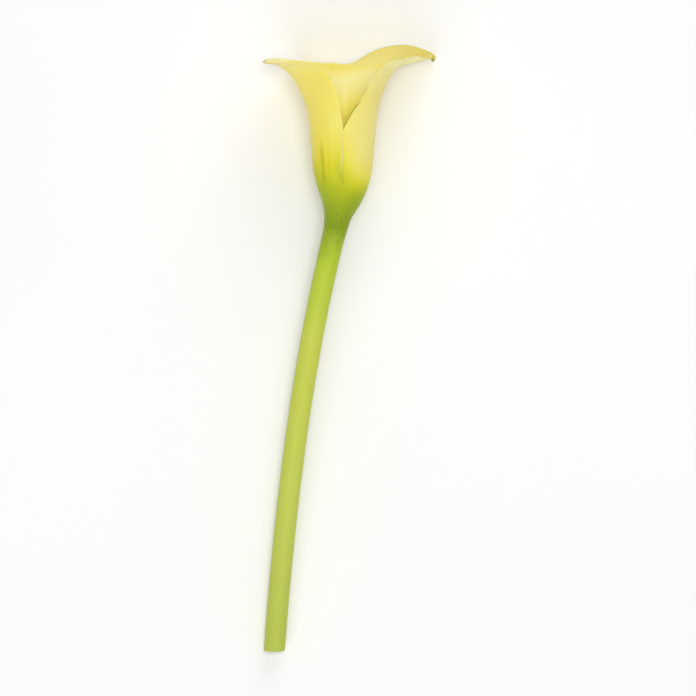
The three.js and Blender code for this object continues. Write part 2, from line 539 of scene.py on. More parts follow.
@dataclass(frozen=True)
class Effects:
    """The node groups that several finishes use, each built once.

    Attributes:
        drift_scale: how fine the wandering of the veins is, across and along.
        fibre_scale: how fine the fibres are, across and along.
        line: distance from a vein's middle at which its line ends, and at which it is full.
        fibre: how strong a fibre is where the line begins to show, and where it is full.
        line_height: share of the lines in the height. The fibres have the rest.
        patch: values of the noise at which a patch begins, and at which it is full.
        mottle_scale: how fine the mottles are, on each axis.
        mottle: values of the noise at which a mottle begins, and at which it is full.
        cloud_detail: how rough the outlines of patches and mottles are.
        cell: distance from a cell's middle at which its height is 0, and at which it is 1.
    """

    drift_scale: Pair = (0.4, 5.0)
    fibre_scale: Pair = (3.1, 9.0)
    line: Pair = (0.34, 0.02)
    fibre: Pair = (0.25, 0.7)
    line_height: float = 0.7
    patch: Pair = (0.32, 0.68)
    mottle_scale: tuple[float, float, float] = (1400.0, 330.0, 1400.0)
    mottle: Pair = (0.48, 0.66)
    cloud_detail: float = 3.0
    cell: Pair = (0.75, 0.1)

    @staticmethod
    def start(name: str, takes: dict[str, str], gives: tuple[str, ...]) -> tuple[Bench, Node, Node]:
        """An empty group with its sockets.

        Args:
            name: the group's name.
            takes: the kind of each input, by name.
            gives: the names of its outputs, which are numbers.

        Returns:
            A bench on the group, and the nodes that hold its inputs and its outputs.
        """
        tree = bpy.data.node_groups.new(name, "ShaderNodeTree")
        for socket, kind in takes.items():
            tree.interface.new_socket(socket, in_out="INPUT", socket_type="NodeSocket" + kind)
        for socket in gives:
            tree.interface.new_socket(socket, in_out="OUTPUT", socket_type="NodeSocketFloat")
        return Bench(tree), tree.nodes.new("NodeGroupInput"), tree.nodes.new("NodeGroupOutput")

    @cached_property
    def veins(self) -> NodeTree:
        """Lengthwise veins: a mask that is 1 on each vein, and a height.

        Returns:
            The group.
        """
        takes = dict.fromkeys(("Across", "Along", "Count", "Wander"), "Float")
        bench, given, out = self.start("lengthwise_veins", takes, ("Line", "Height"))
        along = given.outputs["Along"]
        lanes = bench.times(given.outputs["Across"], given.outputs["Count"])
        drift_spot, fibre_spot = (
            bench.point(bench.times(lanes, across_scale), bench.times(along, along_scale))
            for across_scale, along_scale in (self.drift_scale, self.fibre_scale)
        )
        drift = bench.times(bench.noise(drift_spot, detail=1.0), given.outputs["Wander"])
        phase = bench.sum("FRACT", bench.plus(lanes, drift))
        line = bench.step(bench.distance(phase, 0.5), *self.line)
        fibres = bench.noise(fibre_spot)
        bench.feed(out.inputs["Line"], bench.times(line, bench.step(fibres, *self.fibre)))
        line_part = bench.times(line, self.line_height)
        height = bench.plus(line_part, bench.times(fibres, 1 - self.line_height))
        bench.feed(out.inputs["Height"], height)
        return bench.tree

    @cached_property
    def patches(self) -> NodeTree:
        """Soft patches, as a mask.

        Returns:
            The group.
        """
        takes = {"Place": "Vector", "Scale": "Float"}
        bench, given, out = self.start("soft_patches", takes, ("Patch",))
        cloud = bench.noise(given.outputs["Place"], given.outputs["Scale"], self.cloud_detail)
        bench.feed(out.inputs["Patch"], bench.step(cloud, *self.patch))
        return bench.tree

    @cached_property
    def mottles(self) -> NodeTree:
        """Mottles drawn out lengthwise, which run on from one piece to the next, as a mask.

        Returns:
            The group.
        """
        bench, given, out = self.start("drawn_mottles", {"Place": "Vector"}, ("Mottle",))
        stretch = bench.node("Mapping", {"Vector": given.outputs["Place"]})
        stretch.inputs["Scale"].default_value = self.mottle_scale
        cloud = bench.noise(stretch.outputs[0], detail=self.cloud_detail)
        bench.feed(out.inputs["Mottle"], bench.step(cloud, *self.mottle))
        return bench.tree

    @cached_property
    def cells(self) -> NodeTree:
        """The cells of the skin, as a height that is 1 at the middle of each.

        Returns:
            The group.
        """
        takes = {"Place": "Vector", "Scale": "Float"}
        bench, given, out = self.start("skin_cells", takes, ("Height",))
        inputs = {"Vector": given.outputs["Place"], "Scale": given.outputs["Scale"]}
        cells = bench.node("TexVoronoi", inputs)
        bench.feed(out.inputs["Height"], bench.step(cells.outputs["Distance"], *self.cell))
        return bench.tree


@dataclass(frozen=True)
class Finish:
    """What every finish has: its name and the shader's plain numbers.

    Attributes:
        name: the material's name.
        roughness: how matt the surface is.
        specular: strength of its reflections.
        sheen: soft bloom at grazing angles.
        glow: share of the light that goes through the tissue.
        glow_depth: how deep that light goes.
        glow_reach: how far each colour goes of that depth, red, green and blue.
        relief: depth of the finest unevenness.
    """

    name: str = "tissue"
    roughness: float = 0.5
    specular: float = 0.4
    sheen: float = 0.0
    glow: float = 0.0
    glow_depth: float = 1.0
    glow_reach: tuple[float, float, float] = (1.0, 0.85, 0.3)
    relief: float = 0.05

    def start(self) -> tuple[Material, Bench, Node]:
        """A new material with its plain numbers set.

        Returns:
            The material, a bench on it, and its shader.
        """
        material = bpy.data.materials.new(self.name)
        material.use_nodes = True
        shader = material.node_tree.nodes["Principled BSDF"]
        plain = {
            "Roughness": self.roughness,
            "Specular IOR Level": self.specular,
            "Sheen Weight": self.sheen,
            "Subsurface Weight": self.glow,
            "Subsurface Radius": self.glow_reach,
            "Subsurface Scale": self.glow_depth * MM,
        }
        for socket, value in plain.items():
            shader.inputs[socket].default_value = value
        return material, Bench(material.node_tree), shader

    def emboss(self, bench: Bench, shader: Node, height: Socket) -> None:
        """Lets a height from 0 to 1 stand out by the finish's relief."""
        bump = bench.node("Bump", {"Height": height, "Distance": self.relief * MM})
        bench.feed(shader.inputs["Normal"], bump.outputs[0])


@dataclass(frozen=True)
class VeinedFinish(Finish):
    """A skin with main and fine lengthwise lines, soft patches, mottles and cells.

    Attributes:
        lines: how many main and fine lines one turn has.
        wander: how far they wander, where 1 is from one line to the next.
        patch_scale: how fine the patches are.
        patch_roughness: how much more matt the patches are.
        mottle: colour of the mottles.
        mottle_share: how much of that colour they have.
        mottle_along: places along the piece at which they begin, and at which they are full.
        cell_scale: how fine the cells are.
        heights: height of the main lines, the fine lines and the cells, less than 0 for a groove.
    """

    lines: Pair = (53.0, 187.0)
    wander: float = 1.6
    patch_scale: float = 90.0
    patch_roughness: float = 0.09
    mottle: str = "7f9a16"
    mottle_share: float = 0.75
    mottle_along: Pair = (0.14, 0.04)
    cell_scale: float = 4200.0
    heights: tuple[float, float, float] = (0.55, 0.3, 0.15)

    def texture(
        self, bench: Bench, shader: Node, effects: Effects, across: Socket, along: Socket
    ) -> list[Socket]:
        """Gives the shader the skin's relief and roughness.

        Args:
            bench: the bench of the material.
            shader: the material's shader.
            effects: the shared node groups.
            across: the place round the piece, as a share of a turn.
            along: the place along the piece.

        Returns:
            The masks of the main lines, the fine lines and the patches.
        """
        place = bench.place()
        main, fine = (
            bench.group(effects.veins, across=across, along=along, count=count, wander=self.wander)
            for count in self.lines
        )
        patch = bench.group(effects.patches, place=place, scale=self.patch_scale).outputs[0]
        rough = bench.plus(bench.times(patch, self.patch_roughness), self.roughness)
        bench.feed(shader.inputs["Roughness"], rough)
        cells = bench.group(effects.cells, place=place, scale=self.cell_scale).outputs[0]
        parts = (main.outputs["Height"], fine.outputs["Height"], cells)
        heights = (bench.times(part, height) for part, height in zip(parts, self.heights))
        self.emboss(bench, shader, bench.plus(*heights))
        return [main.outputs["Line"], fine.outputs["Line"], patch]

    def mottled(self, bench: Bench, effects: Effects, base: Socket, along: Socket) -> Socket:
        """Draws the mottles.

        Args:
            bench: the bench of the material.
            effects: the shared node groups.
            base: the colour of the skin.
            along: the place along the piece.

        Returns:
            The colour with the mottles on it.
        """
        mottle = bench.group(effects.mottles, place=bench.place()).outputs[0]
        share = bench.times(mottle, bench.step(along, *self.mottle_along), self.mottle_share)
        return bench.mix(share, base, self.mottle)


class Measure(Enum):
    """What tells where a point of the sheath lies."""

    ACROSS = "share of a turn, from the seam towards the tip"
    ALONG = "share of the leaf, from the foot to the rim"
    EDGE = "distance from the nearest free margin, in millimetres"
    SIDE = "1 on the tip's side of the tube, -1 on the other side"


@dataclass(frozen=True)
class Fade:
    """A smooth step in one measure, by which a mark fades out.

    Attributes:
        measure: the measure.
        none: its value where the mark ends.
        full: its value where the mark is full.
        centre: the value from which the measure is taken, both ways, or None.
    """

    measure: Measure
    none: float
    full: float
    centre: float | None = None


@dataclass(frozen=True)
class Mark:
    """A stretch of the sheath that has another colour.

    Attributes:
        colour: its colour.
        share: how much of that colour it has.
        fades: the steps between which it lies.
    """

    colour: str
    share: float
    fades: tuple[Fade, ...]

    def on(self, bench: Bench, base: Socket, spot: dict[Measure, Socket]) -> Socket:
        """Draws the mark.

        Args:
            bench: the bench of the material.
            base: the colour of the skin.
            spot: the measures of the point.

        Returns:
            The colour with the mark on it.
        """
        share = self.share
        for fade in self.fades:
            value = spot[fade.measure]
            if fade.centre is not None:
                value = bench.distance(value, fade.centre)
            share = bench.times(bench.step(value, fade.none, fade.full), share)
        return bench.mix(share, base, self.colour)


@dataclass(frozen=True)
class PetalFinish(VeinedFinish):
    """The sheath: satin yellow, green at its foot, creamier on its inner face, with fine veins.

    Attributes:
        outer: colours of the outer face, from the foot to the rim.
        inner: colours of the inner face, from the foot to the rim. Near the throat they are
            brightened to a pale cream, painted light that stands in for the light shining through the
            leaf into the tube.
        faces: values of the side's note at which the outer face ends and the inner face begins.
        vein: colour of the veins.
        vein_shares: how much of it the main veins, the fine veins and the patches have.
        rim: colour of the rim's very edge.
        rim_edge: distances from the margin at which it ends and is full.
        rim_along: places along the leaf at which it begins and is full.
        rim_back: places across between which the rim has more of it, with the fades there.
        rim_shares: how much of it the rim has everywhere, and how much more at the back.
        risen: places along at which the green begins to vary and does so fully.
        lean: how much higher the green reaches on one side than on the other.
        drift: how far the stripes shift the green.
        lag: how far the green shifts on the tip's side, low down, and how much more higher up.
        lag_side: sides at which it begins to do so and does so fully.
        lag_along: places along between which the shift changes.
        stripe_scale: how fine the stripes are, across and along.
        streak_share: how much of the mottles' colour the green streaks have.
        streak_along: places along at which they end and are full.
        streak: values of the stripes at which they begin and are full.
        outer_marks: marks on the outer face: painted light that makes the tip's side paler, painted
            shade that makes the other side a deeper yellow, and a painted highlight far out on that
            side.
        crease: the dark line along the deeper crease, painted shade where the crease lies in shadow.
        edge_marks: marks beside the tip, where the limb stands out furthest, on the thin pale edge
            that lies over the seam, and on the edge that goes in under it. The pale edge is partly
            the thinner tissue's own paler colour and partly a painted highlight; the dark line on the
            edge that goes in under it is painted shade, where the slit between the margins lies in
            shadow.
    """

    name: str = "sheath_skin"
    roughness: float = 0.42
    specular: float = 0.2
    sheen: float = 0.03
    glow: float = 0.55
    glow_depth: float = 1.5
    relief: float = 0.03
    outer: Stops = (
        (0.0, "8ca614"),
        (0.06, "9cb41a"),
        (0.12, "aabd1c"),
        (0.18, "c0ca1c"),
        (0.25, "d6d826"),
        (0.31, "e6df36"),
        (0.38, "f6e85c"),
        (0.5, "fcec7e"),
        (0.75, "f8e674"),
        (0.9, "fbec90"),
        (1.0, "fff4ae"),
    )
    # Near the throat the inner face is brightened to a pale cream: painted light standing in for
    # light that shines through the leaf into the tube.
    inner: Stops = (
        (0.0, "a4b420"),
        (0.2, "dcd838"),
        (0.4, "faea68"),
        (0.56, "fff182"),
        (0.63, "fff3a8"),
        (0.7, "fff5b6"),
        (0.76, "fdea8e"),
        (0.83, "f4df60"),
        (0.885, "fcee9e"),
        (1.0, "f1de84"),
    )
    faces: Pair = (0.3, 0.7)
    vein: str = "d6c63c"
    vein_shares: tuple[float, float, float] = (0.11, 0.08, 0.06)
    rim: str = "c9bd52"
    rim_edge: Pair = (0.55, 0.05)
    rim_along: Pair = (0.52, 0.7)
    rim_back: tuple[Pair, Pair] = ((0.3, 0.4), (0.85, 0.7))
    rim_shares: Pair = (0.2, 0.4)
    risen: Pair = (0.0, 0.08)
    lean: float = 0.045
    drift: float = 0.1
    lag: Pair = (-0.06, 0.12)
    lag_side: Pair = (0.0, 0.6)
    lag_along: Pair = (0.13, 0.25)
    stripe_scale: Pair = (5.4, 2.2)
    streak_share: float = 0.3
    streak_along: Pair = (0.36, 0.08)
    streak: Pair = (0.48, 0.72)
    outer_marks: tuple[Mark, ...] = (
        # Painted light: the tip's side of the tube paler and creamier, as where more light falls on
        # it.
        Mark(
            colour="fff2b4",
            share=0.3,
            fades=(Fade(Measure.SIDE, 0.0, 0.6), Fade(Measure.ALONG, 0.2, 0.36)),
        ),
        # Painted shade: the other side of the tube a deeper yellow, as where less light falls on it.
        Mark(
            colour="f4de2e",
            share=0.35,
            fades=(
                Fade(Measure.SIDE, -0.1, -0.7),
                Fade(Measure.ALONG, 0.2, 0.36),
                Fade(Measure.ALONG, 0.75, 0.4),
            ),
        ),
        # Painted highlight: a pale streak far out on the other side, along the tube's edge.
        Mark(
            colour="ffe89c",
            share=0.45,
            fades=(
                Fade(Measure.SIDE, -0.72, -0.98),
                Fade(Measure.ALONG, 0.29, 0.38),
                Fade(Measure.ALONG, 0.65, 0.45),
            ),
        ),
    )
    # Painted shade: a dark olive line along the deeper crease, where it lies in shadow.
    crease: Mark = Mark(
        colour="8f9c22",
        share=0.38,
        fades=(
            Fade(Measure.ACROSS, 0.02, 0.0, centre=0.884),
            Fade(Measure.ALONG, 0.14, 0.05, centre=0.315),
        ),
    )
    edge_marks: tuple[Mark, ...] = (
        Mark(
            colour="d9c45c",
            share=0.8,
            fades=(Fade(Measure.ACROSS, 0.07, 0.0, centre=0.355), Fade(Measure.ALONG, 0.84, 1.0)),
        ),
        Mark(
            colour="c08c48",
            share=0.75,
            fades=(
                Fade(Measure.ACROSS, 0.6, 0.68),
                Fade(Measure.ACROSS, 0.86, 0.78),
                Fade(Measure.EDGE, 1.6, 0.1),
                Fade(Measure.ALONG, 0.9, 0.98),
            ),
        ),
        # Partly real and partly painted: the thin margin over the seam is paler tissue, and the pale
        # stripe along it is also a painted highlight.
        Mark(
            colour="fff4a8",
            share=0.75,
            fades=(
                Fade(Measure.ACROSS, 0.9, 0.99),
                Fade(Measure.EDGE, 3.0, 0.1),
                Fade(Measure.ALONG, 0.26, 0.36),
                Fade(Measure.ALONG, 0.75, 0.52),
            ),
        ),
        # Painted shade: a dark olive line on the margin that goes in under the seam, where the slit
        # between the margins lies in shadow.
        Mark(
            colour="8a8a22",
            share=0.85,
            fades=(
                Fade(Measure.ACROSS, 0.085, 0.05),
                Fade(Measure.EDGE, 1.1, 0.3),
                Fade(Measure.ALONG, 0.45, 0.5),
            ),
        ),
    )

    def outer_colour(self, bench: Bench, spot: dict[Measure, Socket], stripe: Socket) -> Socket:
        """Colours the outer face.

        Args:
            bench: the bench of the material.
            spot: the measures of the point.
            stripe: the noise that draws the stripes.

        Returns:
            The colour.
        """
        along, side = spot[Measure.ALONG], spot[Measure.SIDE]
        low_lag, more_lag = self.lag
        lag = bench.plus(bench.times(bench.step(along, *self.lag_along), more_lag), low_lag)
        shift = bench.plus(
            bench.times(bench.sum("SUBTRACT", stripe, 0.5), self.drift),
            bench.times(side, self.lean),
            bench.times(bench.step(side, *self.lag_side), lag),
        )
        moved = bench.plus(along, bench.times(shift, bench.step(along, *self.risen)))
        base = bench.ramp(moved, self.outer)
        # These marks are painted light and shade on the two sides of the tube, and a painted
        # highlight.
        for mark in self.outer_marks:
            base = mark.on(bench, base, spot)
        return base

    def edge_colours(self, bench: Bench, base: Socket, spot: dict[Measure, Socket]) -> Socket:
        """Colours the margins.

        Args:
            bench: the bench of the material.
            base: the colour of the leaf.
            spot: the measures of the point.

        Returns:
            The colour with the margins on it.
        """
        back = bench.times(*(bench.step(spot[Measure.ACROSS], *fade) for fade in self.rim_back))
        top = bench.times(
            bench.step(spot[Measure.EDGE], *self.rim_edge),
            bench.step(spot[Measure.ALONG], *self.rim_along),
        )
        everywhere, more = self.rim_shares
        share = bench.times(top, bench.plus(bench.times(back, more), everywhere))
        base = bench.mix(share, base, self.rim)
        # Among these marks are a painted highlight on the edge over the seam and painted shade on the
        # edge under it.
        for mark in self.edge_marks:
            base = mark.on(bench, base, spot)
        return base

    def dress(self, effects: Effects) -> Material:
        """Builds the material.

        Args:
            effects: the shared node groups.

        Returns:
            The material.
        """
        material, bench, shader = self.start()
        across, along, edge = bench.note_parts("sheath_place")
        main, fine, patch = self.texture(bench, shader, effects, across, along)
        turn = bench.times(across, 2 * math.pi)
        side, front = bench.sum("SINE", turn), bench.sum("COSINE", turn)
        spot = {
            Measure.ACROSS: across,
            Measure.ALONG: along,
            Measure.EDGE: edge,
            Measure.SIDE: side,
        }
        round_scale, along_scale = self.stripe_scale
        stripe_spot = bench.point(
            bench.times(side, round_scale),
            bench.times(front, round_scale),
            bench.times(along, along_scale),
        )
        stripe = bench.noise(stripe_spot, detail=3.0)
        inside = bench.step(bench.note("sheath_side"), *self.faces)
        outer = self.outer_colour(bench, spot, stripe)
        base = bench.mix(inside, outer, bench.ramp(along, self.inner))
        # Painted shade along the deeper crease.
        base = self.crease.on(bench, base, spot)
        risen = bench.step(along, *self.risen)
        streak = bench.times(
            bench.step(along, *self.streak_along), bench.step(stripe, *self.streak), risen
        )
        base = bench.mix(bench.times(streak, self.streak_share), base, self.mottle)
        base = self.mottled(bench, effects, base, along)
        main_share, fine_share, patch_share = self.vein_shares
        base = bench.mix(bench.times(main, risen, main_share), base, self.vein)
        base = bench.mix(bench.times(fine, fine_share), base, self.vein)
        base = bench.mix(bench.times(patch, patch_share), base, self.vein, "MULTIPLY")
        base = self.edge_colours(bench, base, spot)
        bench.feed(shader.inputs["Base Color"], base)
        return material


@dataclass(frozen=True)
class TipFinish(Finish):
    """The sheath's beaked tip: the sheath's yellow, fading to a dull grey-green at the point.

    Attributes:
        colours: colours from the root to the point.
        patch_scale: how fine the patches are.
        patch_shift: how far the patches shift the colours.
    """

    name: str = "tip_skin"
    roughness: float = 0.55
    specular: float = 0.2
    glow: float = 0.45
    glow_depth: float = 1.0
    relief: float = 0.04
    colours: Stops = (
        (0.0, "dfcb62"),
        (0.45, "e6d466"),
        (0.72, "dcd46e"),
        (0.92, "c2c274"),
        (1.0, "9c9e60"),
    )
    patch_scale: float = 900.0
    patch_shift: float = 0.08

    def dress(self, effects: Effects) -> Material:
        """Builds the material.

        Args:
            effects: the shared node groups.

        Returns:
            The material.
        """
        material, bench, shader = self.start()
        patch = bench.group(effects.patches, place=bench.place(), scale=self.patch_scale).outputs[0]
        shifted = bench.plus(bench.note("tip_along"), bench.times(patch, self.patch_shift))
        bench.feed(shader.inputs["Base Color"], bench.ramp(shifted, self.colours))
        self.emboss(bench, shader, patch)
        return material


@dataclass(frozen=True)
class StemFinish(VeinedFinish):
    """The stem's skin: fresh green with fine darker and paler lines, darkest under the bloom.

    Attributes:
        colours: colours from the cut end to the bloom.
        patch_shift: how far the patches shift those colours.
        groove: colour of the main lines, which are darker.
        groove_share: how much of it they have.
        rib: colour of the fine lines, which are paler.
        rib_share: how much of it they have.
        lines_along: places along the stem at which the lines begin and are full.
    """

    name: str = "stem_skin"
    roughness: float = 0.37
    specular: float = 0.25
    glow: float = 0.15
    glow_depth: float = 0.8
    relief: float = 0.04
    colours: Stops = (
        (0.0, "bcc852"),
        (0.36, "c8d358"),
        (0.74, "ced650"),
        (0.82, "c2d442"),
        (0.92, "b8cf2c"),
        (0.955, "a6bd22"),
        (0.98, "96ae18"),
        (1.0, "8ca614"),
    )
    lines: Pair = (26.0, 71.0)
    wander: float = 0.7
    patch_scale: float = 160.0
    patch_roughness: float = 0.1
    mottle_along: Pair = (0.93, 0.99)
    cell_scale: float = 5200.0
    heights: tuple[float, float, float] = (-0.45, 0.3, 0.15)
    patch_shift: float = 0.03
    groove: str = "93a92c"
    groove_share: float = 0.22
    rib: str = "e2e88a"
    rib_share: float = 0.18
    lines_along: Pair = (1.0, 0.96)

    def dress(self, effects: Effects) -> Material:
        """Builds the material.

        Args:
            effects: the shared node groups.

        Returns:
            The material.
        """
        material, bench, shader = self.start()
        sine, along, cosine = bench.note_parts("stem_place")
        across = bench.times(bench.sum("ARCTAN2", sine, cosine), 0.5 / math.pi)
        main, fine, patch = self.texture(bench, shader, effects, across, along)
        shift = bench.times(bench.sum("SUBTRACT", patch, 0.5), self.patch_shift)
        base = bench.ramp(bench.plus(along, shift), self.colours)
        low = bench.step(along, *self.lines_along)
        base = bench.mix(bench.times(main, low, self.groove_share), base, self.groove)
        base = bench.mix(bench.times(fine, low, self.rib_share), base, self.rib)
        base = self.mottled(bench, effects, base, along)
        bench.feed(shader.inputs["Base Color"], base)
        return material


@dataclass(frozen=True)
class CutFinish(Finish):
    """The stem's cut face: pale wet pith with a green rind and darker strands.

    Attributes:
        colours: colours from the middle to the rind.
        strand: colour of the strands.
        strand_share: how much of it they have.
        patch_scale: how fine the darker patches are.
        patch_share: how much of the strands' colour they have.
        cell_scale: how fine the cells are.
    """

    name: str = "stem_cut"
    roughness: float = 0.35
    specular: float = 0.5
    glow: float = 0.4
    glow_depth: float = 1.5
    relief: float = 0.05
    colours: Stops = ((0.0, "dfe5bd"), (0.7, "d3dda4"), (0.9, "b9ca71"), (1.0, "98b03c"))
    strand: str = "a9a25c"
    strand_share: float = 0.75
    patch_scale: float = 700.0
    patch_share: float = 0.25
    cell_scale: float = 3300.0

    def dress(self, effects: Effects) -> Material:
        """Builds the material.

        Args:
            effects: the shared node groups.

        Returns:
            The material.
        """
        material, bench, shader = self.start()
        base = bench.ramp(bench.note("stem_share"), self.colours)
        strands = bench.times(bench.note("stem_strand"), self.strand_share)
        base = bench.mix(strands, base, self.strand)
        place = bench.place()
        patch = bench.group(effects.patches, place=place, scale=self.patch_scale).outputs[0]
        base = bench.mix(bench.times(patch, self.patch_share), base, self.strand, "MULTIPLY")
        bench.feed(shader.inputs["Base Color"], base)
        cells = bench.group(effects.cells, place=place, scale=self.cell_scale).outputs[0]
        self.emboss(bench, shader, cells)
        return material


@dataclass(frozen=True)
class FloretFinish(Finish):
    """Florets of the spadix, darker between them and dusted with pollen on top.

    Attributes:
        low: colour between the florets.
        high: colour of their tops.
        high_from: places up a floret at which that colour begins and is full.
        tone_share: how much darker the darkest floret is.
        dust: colour of the pollen or the stigma.
        dusted: share of the top that the dust covers.
        dust_from: places up a floret at which the dust begins and is full.
        grain_scale: how fine the grains of dust are.
        grain: heights of a grain at which it shows and is full.
    """

    name: str = "anther_skin"
    roughness: float = 0.8
    specular: float = 0.25
    sheen: float = 0.2
    glow: float = 0.25
    glow_depth: float = 0.6
    relief: float = 0.05
    low: str = "b98416"
    high: str = "e9b52c"
    dust: str = "f6d860"
    dusted: float = 0.6
    high_from: Pair = (0.15, 0.8)
    tone_share: float = 0.35
    dust_from: Pair = (0.5, 1.0)
    grain_scale: float = 9000.0
    grain: Pair = (0.35, 0.75)

    def dress(self, effects: Effects) -> Material:
        """Builds the material.

        Args:
            effects: the shared node groups.

        Returns:
            The material.
        """
        material, bench, shader = self.start()
        top = bench.note("floret_top")
        tone = bench.note("floret_tone")
        base = bench.mix(bench.step(top, *self.high_from), self.low, self.high)
        base = bench.mix(bench.times(tone, self.tone_share), base, self.low, "MULTIPLY")
        grains = bench.group(effects.cells, place=bench.place(), scale=self.grain_scale).outputs[0]
        dusted = bench.times(
            bench.step(grains, *self.grain), bench.step(top, *self.dust_from), self.dusted
        )
        base = bench.mix(dusted, base, self.dust)
        bench.feed(shader.inputs["Base Color"], base)
        self.emboss(bench, shader, grains)
        return material


@dataclass(frozen=True)
class FloorFinish(Finish):
    """The pale surface that the flower lies on.

    Attributes:
        colour: its colour.
        shade: its colour in soft patches.
        patch_scale: how fine the patches are.
    """

    name: str = "pale_surface"
    roughness: float = 0.7
    specular: float = 0.2
    colour: str = "ffffff"
    shade: str = "fdfdfc"
    patch_scale: float = 4.0

    def dress(self, effects: Effects) -> Material:
        """Builds the material.

        Args:
            effects: the shared node groups.

        Returns:
            The material.
        """
        material, bench, shader = self.start()
        patch = bench.group(effects.patches, place=bench.place(), scale=self.patch_scale).outputs[0]
        bench.feed(shader.inputs["Base Color"], bench.mix(patch, self.colour, self.shade))
        return material


# ---------------------------------------------------------------------------------------------
# Sheath
# ---------------------------------------------------------------------------------------------


